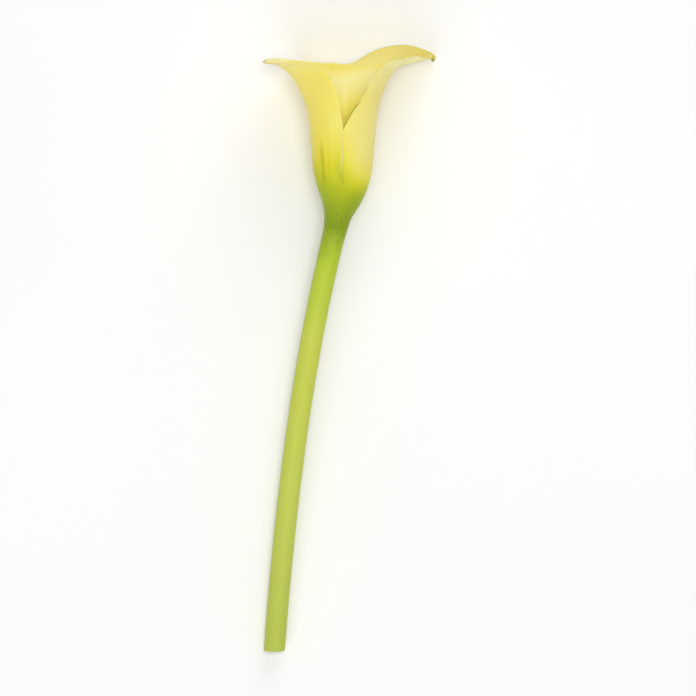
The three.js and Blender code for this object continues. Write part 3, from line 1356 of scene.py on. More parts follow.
@dataclass(frozen=True)
class Sheath:
    """The yellow sheath, one leaf rolled into a trumpet, whose margins overlap in front.

    Attributes:
        throat_height: height of the throat, where the tube ends.
        neck_radius: radius of the tube at its foot.
        tube_swell: how much the tube widens just above its foot.
        tube_swell_height: height over which it does so.
        tube_swell_power: how suddenly it does so.
        tube_slope: how much the tube goes on widening with height.
        skirt: length of the foot's skin that runs on down over the stem.
        skirt_slope: how much that skin draws in, until it is lost in the stem's skin.
        open_gap: distance between the two layers of the roll at the throat.
        parting_levels: levels between which the layers part, from where they have grown together.
        lap_level: level at which the inner layer's lap reaches its full width.
        tip_azimuth: where the tip is.
        tip_length: how far the tip stands out of the rim.
        tip_width: how far round the rim it spreads, in degrees.
        tip_power: how blunt it is, where 1 is a sharp point.
        curl: how far the rim curls down beside the tip.
        curl_place: azimuth at which it does so most, and how far round that reaches.
        inner_azimuth: where the inner margin lies under the roll.
        inner_level: level of that margin's corner.
        outer_azimuth: where the outer margin lies.
        left_margin_width: degrees over which the outer margin sweeps down to the seam.
        left_margin_power: how suddenly it does so.
        right_margin: azimuth and top level along the other margin.
        foot_thickness: thickness of the CAD sheath at its foot.
        rim_thickness: thickness of the CAD sheath at its rim.
        leaf_thickness: true thickness of the leaf near its rim.
        edge_thickness: thickness just inside a free margin.
        edge_taper: distance from a margin over which the leaf thickens.
        fold: height of the soft lengthwise folds.
        fold_counts: how many wider and narrower folds one turn has.
        fold_sway: how far the wider folds sway from side to side, and how often.
        narrow_fold: height of the narrower folds against the wider ones, and how they lean.
        fold_level: level from which the folds have their full height.
        crease: azimuth, level and depth of the one deeper crease, and its spread in both.
        valley: depth of the valley inside the limb that turns up again, as a share of the upturn.
        valley_place: share of the limb at which it lies, and its spread.
        ripple: height of the rim's ripples.
        ripples: share of that height, number in a turn and phase of each train of ripples.
        rest_azimuth: where the limb rests on the surface, without ripples.
        rest_spread: how far round that stretch reaches.
        vein_pull: degrees by which the veins bend towards the tip.
        limb: azimuth, reach of the rim from the axis, height of the arc above the throat, angle
            through which that arc turns outwards, how late it flares, and how far beyond the
            arc the rim runs on outwards and turns up again.
        run_on: share of the limb after which it runs on outwards, and how suddenly it does so.
        turn_up: share of the limb after which it turns up, and how suddenly it does so.
        curl_power: how suddenly the rim curls down beside the tip.
        grown_rows: rows of points up to the level at which the layers part.
        free_rows: rows of points above it, without those near the rim.
        near_rim: distances from the rim of the last of those rows and of the rows near it.
        free_length: length of a column above the level at which the layers part.
        column_step: azimuth between columns.
        plain_from: how far in from the two margins the evenly spaced columns begin.
        near_margin: azimuths from a margin of the columns beside it.
        near_tip: azimuth to both sides of the tip that has closer columns, and their number.
    """

    throat_height: float = 35.0
    neck_radius: float = 4.4
    tube_swell: float = 4.42
    tube_swell_height: float = 11.0
    tube_swell_power: float = 1.9
    tube_slope: float = 0.085
    skirt: float = 1.6
    skirt_slope: float = 0.13
    open_gap: float = 0.62
    parting_levels: Pair = (0.42, 0.72)
    lap_level: float = 0.8
    tip_azimuth: float = 128.0
    tip_length: float = 5.6
    tip_width: float = 9.5
    tip_power: float = 1.5
    curl: float = 2.6
    curl_place: Pair = (117.0, 13.0)
    inner_azimuth: float = -44.0
    inner_level: float = 0.505
    outer_azimuth: float = 360.0
    left_margin_width: float = 78.0
    left_margin_power: float = 3.2
    right_margin: Rows = ((0, 1.0), (18, 1.17), (38, 1.36), (50, 1.74), (62, 1.97), (80, 2.0))
    foot_thickness: float = 1.1
    rim_thickness: float = 0.7
    leaf_thickness: float = 0.5
    edge_thickness: float = 0.3
    edge_taper: float = 3.5
    fold: float = 0.03
    fold_counts: Pair = (17.0, 29.0)
    fold_sway: Pair = (2.0, 2.1)
    narrow_fold: Pair = (0.6, 1.7)
    fold_level: float = 0.3
    crease: tuple[float, ...] = (319.0, 0.66, 0.22, 5.0, 0.16)
    valley: float = 0.09
    valley_place: Pair = (0.78, 0.075)
    ripple: float = 0.25
    ripples: Rows = ((1.0, 5.0, 0.7), (0.55, 8.0, 2.1))
    rest_azimuth: float = 178.0
    rest_spread: float = 46.0
    vein_pull: float = 22.0
    limb: Rows = (
        (0, 22.5, 22.6, 100, 1.0, 0.0, 0.0),
        (30, 22.2, 22.8, 98, 1.0, 0.0, 0.0),
        (50, 22.0, 22.8, 94, 1.0, 0.0, 0.0),
        (66, 22.3, 23.2, 88, 1.0, 0.0, 0.0),
        (84, 23.4, 23.8, 84, 1.0, 0.0, 0.0),
        (108, 27.8, 23.0, 88, 1.05, 1.0, 0.5),
        (128, 29.9, 20.2, 108, 1.0, 4.4, 4.2),
        (142, 24.4, 19.0, 136, 1.0, 8.7, 12.0),
        (155, 21.4, 18.8, 138, 0.95, 7.3, 11.0),
        (170, 20.8, 18.4, 130, 0.95, 3.5, 5.2),
        (185, 22.5, 18.9, 116, 1.0, 0.8, 1.0),
        (202, 27.7, 19.0, 112, 1.0, 0.0, 0.0),
        (220, 28.6, 20.2, 108, 1.0, 0.0, 0.0),
        (240, 28.6, 21.3, 100, 0.98, 0.0, 0.0),
        (265, 27.9, 21.2, 96, 0.98, 0.0, 0.0),
        (300, 26.4, 22.2, 98, 0.98, 0.0, 0.0),
        (332, 24.2, 22.6, 100, 1.0, 0.0, 0.0),
    )
    run_on: Pair = (0.6, 1.5)
    turn_up: Pair = (0.75, 2.0)
    curl_power: float = 4.0
    grown_rows: int = 34
    free_rows: int = 80
    near_rim: tuple[float, ...] = (0.6, 0.3, 0.16, 0.09, 0.03, 0.0)
    free_length: float = 47.0
    column_step: float = 1.0
    plain_from: Pair = (2.0, 1.5)
    near_margin: tuple[float, ...] = (0.0, 0.2, 0.5, 0.9, 1.4)
    near_tip: tuple[float, int] = (10.0, 41)

    @cached_property
    def limb_curve(self) -> SmoothCurve:
        """The limb's values all the way round."""
        return SmoothCurve(self.limb, turn=360)

    @cached_property
    def margin_curve(self) -> SmoothCurve:
        """Top levels along the right margin."""
        return SmoothCurve(self.right_margin)

    @staticmethod
    def late_rise(out: Array, start: float, power: float) -> Array:
        """A rise from 0 where the share out of the limb is start, to 1 at the rim."""
        return np.clip((out - start) / (1 - start), 0, 1) ** power

    def tube_radius(self, height: Number) -> Number:
        """Radius of the tube.

        Args:
            height: height above the tube's foot.

        Returns:
            The radius.
        """
        above = np.maximum(height, 0)
        swell = 1 - np.exp(-((above / self.tube_swell_height) ** self.tube_swell_power))
        drawn_in = self.skirt_slope * np.minimum(height, 0)
        return self.neck_radius + self.tube_swell * swell + self.tube_slope * above + drawn_in

    def top_level(self, azimuth: Array) -> Array:
        """Highest level of the sheath: the rim, or the margin that sweeps down to the seam.

        Args:
            azimuth: azimuths of the places.

        Returns:
            The highest level at each.
        """
        lap = lerp(1, self.inner_level, azimuth / self.inner_azimuth)
        from_seam = np.clip((self.outer_azimuth - azimuth) / self.left_margin_width, 0, 1)
        left = 2 - (1 - from_seam) ** self.left_margin_power
        return np.where(azimuth < 0, lap, np.minimum(left, self.margin_curve.at(azimuth)))

    def outer(self, azimuth: Array, level: Array) -> Array:
        """Points of the CAD sheath's outer face, with the two layers grown together at the foot.

        Args:
            azimuth: azimuths of the points.
            level: their levels.

        Returns:
            The points, on the bent axis.
        """
        lap = between(level, self.parting_levels[0], self.lap_level)
        azimuth = np.where(azimuth < 0, azimuth * lap, azimuth)
        from_tip = np.abs(azimuth - self.tip_azimuth) / self.tip_width
        tip = np.exp(-(from_tip**self.tip_power))
        reach, rise, turn, late, run, upturn = (self.limb_curve.at(azimuth, i) for i in range(6))
        turn = np.radians(turn)
        up = np.minimum(level, 1)
        out = np.maximum(level - 1, 0)
        height = self.throat_height * up + rise * np.sin(out * turn)
        rim_radius = self.tube_radius(self.throat_height + rise * np.sin(turn))
        flare = ((1 - np.cos(out * turn)) / (1 - np.cos(turn))) ** late
        gap = self.open_gap * between(level, *self.parting_levels)
        radius = self.tube_radius(height)
        radius += (reach + self.tip_length * tip - rim_radius) * flare
        radius += gap * (1 - smooth(out)) * (azimuth / 360 - 0.5)
        radius += run * self.late_rise(out, *self.run_on)
        rise_again = self.late_rise(out, *self.turn_up)
        curl_at, curl_spread = self.curl_place
        dip = self.curl * hill(azimuth - curl_at, curl_spread) * out**self.curl_power
        valley_at, valley_spread = self.valley_place
        dip += self.valley * upturn * hill(out - valley_at, valley_spread)
        points = around(radius, azimuth, height - dip + upturn * rise_again)
        points[..., 0] += gap / 4 * (1 - out)
        return AXIS.bend(points)

    def inward(self, azimuth: Array, level: Array) -> Array:
        """The direction square to the sheath, towards its inner face.

        Args:
            azimuth: azimuths of the points.
            level: their levels.

        Returns:
            The direction at each, of length 1.
        """
        nudge = 0.001
        across = self.outer(azimuth + nudge, level) - self.outer(azimuth - nudge, level)
        along = self.outer(azimuth, level + nudge) - self.outer(azimuth, level - nudge)
        return unit(np.cross(along, across))

    def relief(self, azimuth: Array, level: Array) -> Array:
        """How far the skin stands out in soft lengthwise folds and in the rim's ripples.

        Args:
            azimuth: azimuths of the points.
            level: their levels.

        Returns:
            The height at each, less than 0 in the crease.
        """
        angle = np.radians(azimuth)
        out = np.maximum(level - 1, 0)
        wide, narrow = self.fold_counts
        sway, sways = self.fold_sway
        narrow_height, narrow_lean = self.narrow_fold
        folds = np.sin(wide * angle + sway * np.sin(sways * level))
        folds = folds + narrow_height * np.sin(narrow * angle + narrow_lean * level)
        crease_at, crease_level, depth, spread, level_spread = self.crease
        crease = depth * hill(azimuth - crease_at, spread) * hill(level - crease_level, level_spread)
        ripples = sum(share * np.sin(count * angle + phase) for share, count, phase in self.ripples)
        free = 1 - hill(azimuth - self.rest_azimuth, self.rest_spread)
        ripples = self.ripple * ripples * out**2 * free
        return self.fold * folds * smooth(level / self.fold_level) - crease + ripples

    def middle(self, azimuth: Array, level: Array) -> Array:
        """Points halfway through the sheath's thickness.

        Args:
            azimuth: azimuths of the points.
            level: their levels.

        Returns:
            The points.
        """
        half = lerp(self.foot_thickness, self.rim_thickness, level / 2) / 2
        inward = self.inward(azimuth, level)
        depth = half - self.relief(azimuth, level)
        return self.outer(azimuth, level) + inward * depth[..., None]

    def faces_from_middle(self, level: Array, edge: Array) -> tuple[Array, Array]:
        """How far the two faces of the leaf lie from its middle.

        The leaf thins towards a free margin and is round at its edge. Where the margin is only
        just free it is blunt, and the outer face runs on over it without a step.

        Args:
            level: level of each point.
            edge: its distance from the nearest margin.

        Returns:
            How far out the outer face lies at each point, and how far in the inner face does.
        """
        body = lerp(self.foot_thickness, self.leaf_thickness, level / 2)
        free = between(level, *self.parting_levels)
        rim = lerp(body, self.edge_thickness, free)
        thin = lerp(rim, body, smooth(edge / self.edge_taper))
        inset = np.clip(edge / (rim / 2), 0, 1)
        thick = thin * np.sqrt(1 - (1 - inset) ** 2)
        outward = body / 2 - (body - thick) * free / 2
        return outward, thick - outward

    @staticmethod
    def edge_distance(points: Array) -> Array:
        """How far each point lies from the first column, the last column or the top row.

        Args:
            points: the grid's points, by column and row.

        Returns:
            The shortest of the three distances.
        """
        across = np.linalg.norm(np.diff(points, axis=0), axis=-1)
        up = np.linalg.norm(np.diff(points, axis=1), axis=-1)
        from_first = np.pad(np.cumsum(across, axis=0), ((1, 0), (0, 0)))
        from_foot = np.pad(np.cumsum(up, axis=1), ((0, 0), (1, 0)))
        from_last = from_first[-1:] - from_first
        from_top = from_foot[:, -1:] - from_foot
        return np.minimum(np.minimum(from_first, from_last), from_top)

    def vein_lane(self, azimuth: Array, level: Array) -> Array:
        """Share of a turn at which the vein through each point leaves the foot.

        Args:
            azimuth: azimuths of the points.
            level: their levels.

        Returns:
            The share at each.
        """
        out = np.maximum(level - 1, 0)
        pull = self.vein_pull * out**1.5 * np.sin(np.radians(azimuth - self.tip_azimuth))
        return (azimuth + pull) / 360

    def columns(self) -> Array:
        """Azimuths of the grid's columns, closest at the tip and at the two margins.

        Returns:
            The azimuths in rising order.
        """
        near_margin = np.array(self.near_margin)
        from_inner, from_outer = self.plain_from
        first, last = self.inner_azimuth + from_inner, self.outer_azimuth - from_outer
        plain = np.arange(first, last, self.column_step)
        reach, count = self.near_tip
        near_tip = self.tip_azimuth + np.linspace(-reach, reach, count)
        margins = [self.inner_azimuth + near_margin, self.outer_azimuth - near_margin]
        return np.unique(np.concatenate([plain, near_tip, *margins]).round(3))

    def grid(self) -> tuple[Array, Array]:
        """The places of the grid's points, with rows that lie closest at the top.

        Returns:
            The azimuth and the level of each point, by column and row.
        """
        near_rim = 1 - np.array(self.near_rim) / self.free_length
        evenly = np.linspace(0, near_rim[0], self.free_rows)
        share = np.concatenate([evenly, near_rim[1:]])[1:]
        foot = -self.skirt / self.throat_height
        grown = np.linspace(foot, self.parting_levels[0], self.grown_rows)
        azimuth = self.columns()[:, None]
        free = lerp(grown[-1], self.top_level(azimuth), share)
        level = np.concatenate([np.broadcast_to(grown, (len(azimuth), len(grown))), free], axis=1)
        return np.broadcast_to(azimuth, level.shape), level

    def number_points(self, azimuth: Array) -> tuple[Array, Array]:
        """Numbers the points of the outer and of the inner face.

        The two faces share their points along the free margins. Where the roll has grown
        together, the lap has no points of its own, and the last column is the seam's column.

        Args:
            azimuth: azimuth of each point of the grid.

        Returns:
            The numbers of the outer face's points and of the inner face's, by column and row.
        """
        outer = np.arange(azimuth.size).reshape(azimuth.shape)
        inner = outer + azimuth.size
        seam = int(np.argmin(np.abs(azimuth[:, 0])))
        grown = self.grown_rows
        for line in (np.s_[0, grown:], np.s_[-1, grown:], np.s_[:, -1]):
            inner[line] = outer[line]
        for index in (outer, inner):
            index[:seam, :grown] = index[seam, :grown]
            index[-1, :grown] = index[seam, :grown]
        return outer, inner

    def build(self, laying: Laying, finish: PetalFinish, effects: Effects) -> Piece:
        """Makes the sheath.

        Args:
            laying: how the flower lies.
            finish: the sheath's finish.
            effects: the shared node groups.

        Returns:
            The piece.
        """
        azimuth, level = self.grid()
        middle = self.middle(azimuth, level)
        inward = self.inward(azimuth, level)
        edge = self.edge_distance(middle)
        edge[:, : self.grown_rows] = edge.max()
        to_outer, to_inner = self.faces_from_middle(level, edge)
        outer = middle - inward * to_outer[..., None]
        inner = middle + inward * to_inner[..., None]
        outer_index, inner_index = self.number_points(azimuth)
        foot = np.stack([inner_index[:, 0], outer_index[:, 0]], axis=1)
        start = self.grown_rows - 1
        first = np.stack([outer_index[0, start:], inner_index[0, start:]], axis=1)
        last = np.stack([inner_index[-1, start:], outer_index[-1, start:]], axis=1)
        faces = grid_faces(outer_index) + [face[::-1] for face in grid_faces(inner_index)]
        faces += grid_faces(foot) + grid_faces(first) + grid_faces(last)
        faces = without_doubles(faces)
        used = np.unique(np.concatenate(faces))
        number = np.zeros(2 * azimuth.size, int)
        number[used] = np.arange(len(used))

        place = np.stack([self.vein_lane(azimuth, level), level / 2, edge], axis=-1)
        side = np.repeat([0.0, 1.0], azimuth.size)
        side[outer_index[outer_index == inner_index]] = 0.5
        notes = {
            "sheath_place": np.concatenate([place.reshape(-1, 3)] * 2)[used],
            "sheath_side": side[used],
        }
        points = np.concatenate([outer.reshape(-1, 3), inner.reshape(-1, 3)])[used]
        shell = Shell(points, [number[face].tolist() for face in faces], notes)
        return shell.make("sheath", laying, [finish.dress(effects)], "spathe")


@dataclass(frozen=True)
class TipHook:
    """The small blunt beak in which the sheath's tip ends.

    Attributes:
        buried: length that lies along the sheath.
        bend_radius: radius of the bend by which the rest turns down.
        bend: degrees through which it turns.
        straight: length that runs on after the bend.
        flush: how far its upper face stands above the sheath's middle.
        section: place along it, half width and half thickness.
        levels: levels of the sheath from which its middle is followed, and at which the bend
            begins.
        heading_steps: steps of that way over which its end's direction is taken.
        sides: points in each ring.
        rings: number of rings.
    """

    buried: float = 2.2
    bend_radius: float = 1.3
    bend: float = 140.0
    straight: float = 1.0
    flush: float = 0.13
    section: Rows = (
        (0.0, 0.15, 0.03),
        (0.2, 0.65, 0.06),
        (0.34, 1.15, 0.13),
        (0.42, 1.32, 0.27),
        (0.52, 1.38, 0.46),
        (0.65, 1.3, 0.58),
        (0.8, 1.1, 0.6),
        (0.94, 0.68, 0.43),
        (1.0, 0.15, 0.12),
    )
    levels: Pair = (1.6, 1.985)
    heading_steps: int = 3
    sides: int = 24
    rings: int = 44

    def build(self, sheath: Sheath, laying: Laying, finish: TipFinish, effects: Effects) -> Piece:
        """Makes the beak.

        Args:
            sheath: the sheath that it ends.
            laying: how the flower lies.
            finish: the beak's finish.
            effects: the shared node groups.

        Returns:
            The piece.
        """
        azimuth = np.full(self.rings, sheath.tip_azimuth)
        trail = sheath.middle(azimuth, np.linspace(*self.levels, self.rings))
        steps = np.linalg.norm(np.diff(trail, axis=0), axis=1)
        to_end = np.append(-np.cumsum(steps[::-1])[::-1], 0.0)
        ahead = unit(trail[-1] - trail[-1 - self.heading_steps])
        flat = -sheath.inward(azimuth, np.full(self.rings, 2.0))[-1]
        share = np.linspace(0, 1, self.rings)[:, None]
        bent = self.bend_radius * math.radians(self.bend)
        run = lerp(-self.buried, bent + self.straight, share)[..., None]
        outward = lerp(flat, -BLOOM_AXIS, smooth(run / bent))
        outward = unit(outward - (outward @ ahead)[..., None] * ahead)
        side = np.cross(ahead, outward)
        turn = np.clip(run, 0, bent) / self.bend_radius
        forward = np.cos(turn) * ahead + np.sin(turn) * outward
        normal = np.cos(turn) * outward - np.sin(turn) * ahead
        section = SmoothCurve(self.section)
        followed = [np.interp(run[..., 0], to_end, places) for places in trail.T]
        spine = np.stack(followed, axis=-1) + forward * np.maximum(run - bent, 0)
        spine = spine + self.bend_radius * (np.sin(turn) * ahead + (1 - np.cos(turn)) * outward)
        spine = spine + normal * np.maximum(section.at(share, 1)[..., None] - self.flush, 0)
        angle = np.radians(turn_in(self.sides))[None, :]
        width = section.at(share, 0) * np.sin(angle)
        depth = section.at(share, 1) * np.cos(angle)
        rings = spine + width[..., None] * side + depth[..., None] * normal
        along = np.repeat(share, self.sides, axis=1)
        notes = {"tip_along": np.concatenate([along.ravel(), [0, 1]])}
        shell = Shell(capped(rings), turned_faces(self.rings, self.sides), notes)
        return shell.make("sheath_tip", laying, [finish.dress(effects)], "spathe")


# ---------------------------------------------------------------------------------------------
# Stem
# ---------------------------------------------------------------------------------------------


@dataclass(frozen=True)
class Stem:
    """The stem that carries the bloom, cut across at its lower end.

    Attributes:
        radius: radius below the bloom.
        cut_radius: radius at the cut end.
        swell: how much it swells just under the bloom.
        swell_run: length over which the swelling fades.
        top: height of its upper end, just under the sheath.
        rib: height of the lengthwise ribs.
        rib_fade: length over which the ribs fade out under the bloom.
        rib_count: number of ribs.
        waves: height of the broader waves against the ribs', their number and their twist.
        twist: degrees through which the ribs turn over the stem's length.
        corner: radius of the cut edge.
        corner_turns: how far round that edge its rings lie.
        face_shares: shares of the radius at which the cut face's rings begin and end.
        top_shares: shares of the radius of the rings that close the upper end.
        dish: how far the pith has drawn in at the cut.
        strands: number of strands in the cut face.
        strand_spread: share of the cut face's radius within which they lie.
        strand_radius: radius of each.
        strand_height: how far each stands out.
        cad_sides: points in a ring of the CAD stem.
        sides: points in each ring.
        wall_rings: rings along the wall.
        face_rings: rings in the cut face.
    """

    radius: float = 4.0
    cut_radius: float = 3.7
    swell: float = 0.37
    swell_run: float = 4.0
    top: float = -0.04
    rib: float = 0.05
    rib_fade: float = 6.0
    rib_count: int = 26
    waves: tuple[float, float, float] = (0.5, 7.0, 3.0)
    twist: float = 9.0
    corner: float = 0.2
    corner_turns: tuple[float, ...] = (20.0, 45.0, 70.0)
    face_shares: Pair = (0.04, 0.93)
    top_shares: Pair = (0.6, 0.1)
    dish: float = 0.35
    strands: int = 60
    strand_spread: float = 0.82
    strand_radius: float = 0.17
    strand_height: float = 0.08
    cad_sides: int = 16
    sides: int = 156
    wall_rings: int = 240
    face_rings: int = 24

    def wall_radius(self, height: Array, azimuth: Array) -> Array:
        """Radius of the ribbed wall.

        Args:
            height: heights of the points, which are less than 0.
            azimuth: their azimuths.

        Returns:
            The radius at each.
        """
        share = -height / AXIS.stem_length
        plain = lerp(self.radius, self.cut_radius, share)
        plain = plain + self.swell * np.exp(height / self.swell_run)
        angle = np.radians(azimuth + self.twist * share)
        wave, waves, wave_twist = self.waves
        ribs = np.sin(self.rib_count * angle) + wave * np.sin(waves * angle + wave_twist * share)
        return plain + self.rib * (ribs - 1) * smooth(-height / self.rib_fade)

    def cut_ring(self) -> Array:
        """Points of the CAD stem's cut end, which is the lowest on every axis."""
        return AXIS.bend(around(self.cut_radius, turn_in(self.cad_sides), -AXIS.stem_length))

    def profile(self) -> tuple[Array, Array]:
        """The outline that is turned into the stem.

        Returns:
            Each ring's share of the wall's radius, and its height.
        """
        cut = -AXIS.stem_length
        face = np.linspace(*self.face_shares, self.face_rings)
        wall = np.linspace(cut + self.corner, self.top - self.corner, self.wall_rings)
        turn = np.radians(np.array(self.corner_turns))
        corner = 1 - self.corner / self.radius * (1 - np.sin(turn))
        rise = self.corner * (1 - np.cos(turn))
        share = [face, corner, np.ones(self.wall_rings), corner[::-1], self.top_shares]
        height = [
            cut + self.dish * (1 - face**2),
            cut + rise,
            wall,
            self.top - rise[::-1],
            [self.top] * len(self.top_shares),
        ]
        return np.concatenate(share), np.concatenate(height)

    def strand_mask(self, x: Array, z: Array) -> Array:
        """Where the strands of the cut face are.

        Args:
            x: places across the stem.
            z: places across it, the other way.

        Returns:
            1 in the middle of a strand, fading to 0 at its edge.
        """
        order = np.arange(self.strands)
        reach = self.strand_spread * self.cut_radius
        spread = reach * np.sqrt((order + 0.5) / self.strands)
        centres = around(spread, order * GOLDEN_ANGLE, 0)
        far_x = x[..., None] - centres[:, 0]
        far_z = z[..., None] - centres[:, 2]
        return hill(np.hypot(far_x, far_z).min(-1), self.strand_radius)

    def build(self, laying: Laying, skin: StemFinish, cut: CutFinish, effects: Effects) -> Piece:
        """Makes the stem.

        Args:
            laying: how the flower lies.
            skin: finish of the wall.
            cut: finish of the cut face.
            effects: the shared node groups.

        Returns:
            The piece.
        """
        share, height = (column[:, None] for column in self.profile())
        azimuth = turn_in(self.sides)[None, :]
        rings = around(self.wall_radius(height, azimuth) * share, azimuth, height)
        in_face = np.arange(len(share)) < self.face_rings
        strand = self.strand_mask(rings[..., 0], rings[..., 2]) * in_face[:, None]
        rings[..., 1] -= self.strand_height * strand
        along = height / AXIS.stem_length + 1
        turn = around(1.0, azimuth, 0.0)
        place = np.stack(np.broadcast_arrays(turn[..., 0], along, turn[..., 2]), axis=-1)
        notes = {
            "stem_place": capped(place),
            "stem_share": capped(np.broadcast_to(share, strand.shape)[..., None])[:, 0],
            "stem_strand": capped(strand[..., None])[:, 0],
        }
        faces = turned_faces(len(share), self.sides)
        face_points = self.face_rings * self.sides
        foot_middle = len(share) * self.sides
        coats = [
            int(all(corner < face_points or corner == foot_middle for corner in face))
            for face in faces
        ]
        shell = Shell(AXIS.bend(capped(rings)), faces, notes, coats)
        materials = [skin.dress(effects), cut.dress(effects)]
        return shell.make("stem_skin", laying, materials, "stem")


# ---------------------------------------------------------------------------------------------
# Spadix
# ---------------------------------------------------------------------------------------------


class FloretKind(Enum):
    """The two kinds of floret on the spadix."""

    ANTHERS = "anthers"
    OVARIES = "ovaries"


@dataclass(frozen=True)
class FloretZone:
    """A stretch of the spadix that is covered in one kind of floret.

    Attributes:
        kind: the kind of floret.
        low: height at which the stretch begins.
        high: height at which it ends.
        pitch: distance between neighbours.
        width: half the width of a floret, round the spadix.
        tall: half its height, along the spadix.
        depth: how far it stands out of the core.
        squareness: 2 for a round outline, more for a square one.
        groove: depth of the groove across its top.
        nub: height of the stigma on its top.
        groove_place: half the width of the groove, and the share of the depth above which it is.
        nub_width: half the width of the stigma, as a share of the floret's.
        rings: share of the width and share of the depth of each ring.
        sides: points in each ring.
    """

    kind: FloretKind
    low: float
    high: float
    pitch: float
    width: float
    tall: float
    depth: float
    squareness: float
    groove: float = 0.0
    nub: float = 0.0
    groove_place: Pair = (0.28, 0.8)
    nub_width: float = 0.4
    rings: Rows = ((0.86, 0.0), (1.0, 0.35), (1.0, 0.68), (0.86, 0.9), (0.55, 1.0), (0.22, 1.0))
    sides: int = 14

    def template(self) -> tuple[Array, Array, list[list[int]]]:
        """One floret, standing on its foot.

        Returns:
            Its points as sideways, outwards and along the spadix; how near its top each point
            is; and its faces.
        """
        angle = np.radians(turn_in(self.sides))
        power = 2 / self.squareness
        x, z = (np.sign(part) * np.abs(part) ** power for part in (np.sin(angle), np.cos(angle)))
        outline = np.array(self.rings)
        wide, high = outline[:, :1], outline[:, 1:]
        top = np.broadcast_to(high, (len(outline), self.sides))
        groove_width, groove_from = self.groove_place
        groove = self.groove * hill(wide * x, groove_width) * (high > groove_from)
        rise = self.depth * top - groove + self.nub * hill(wide, self.nub_width)
        rings = np.stack([self.width * wide * x, rise, self.tall * wide * z], axis=-1)
        faces = turned_faces(len(outline), self.sides)
        return capped(rings), capped(top[..., None])[:, 0], faces


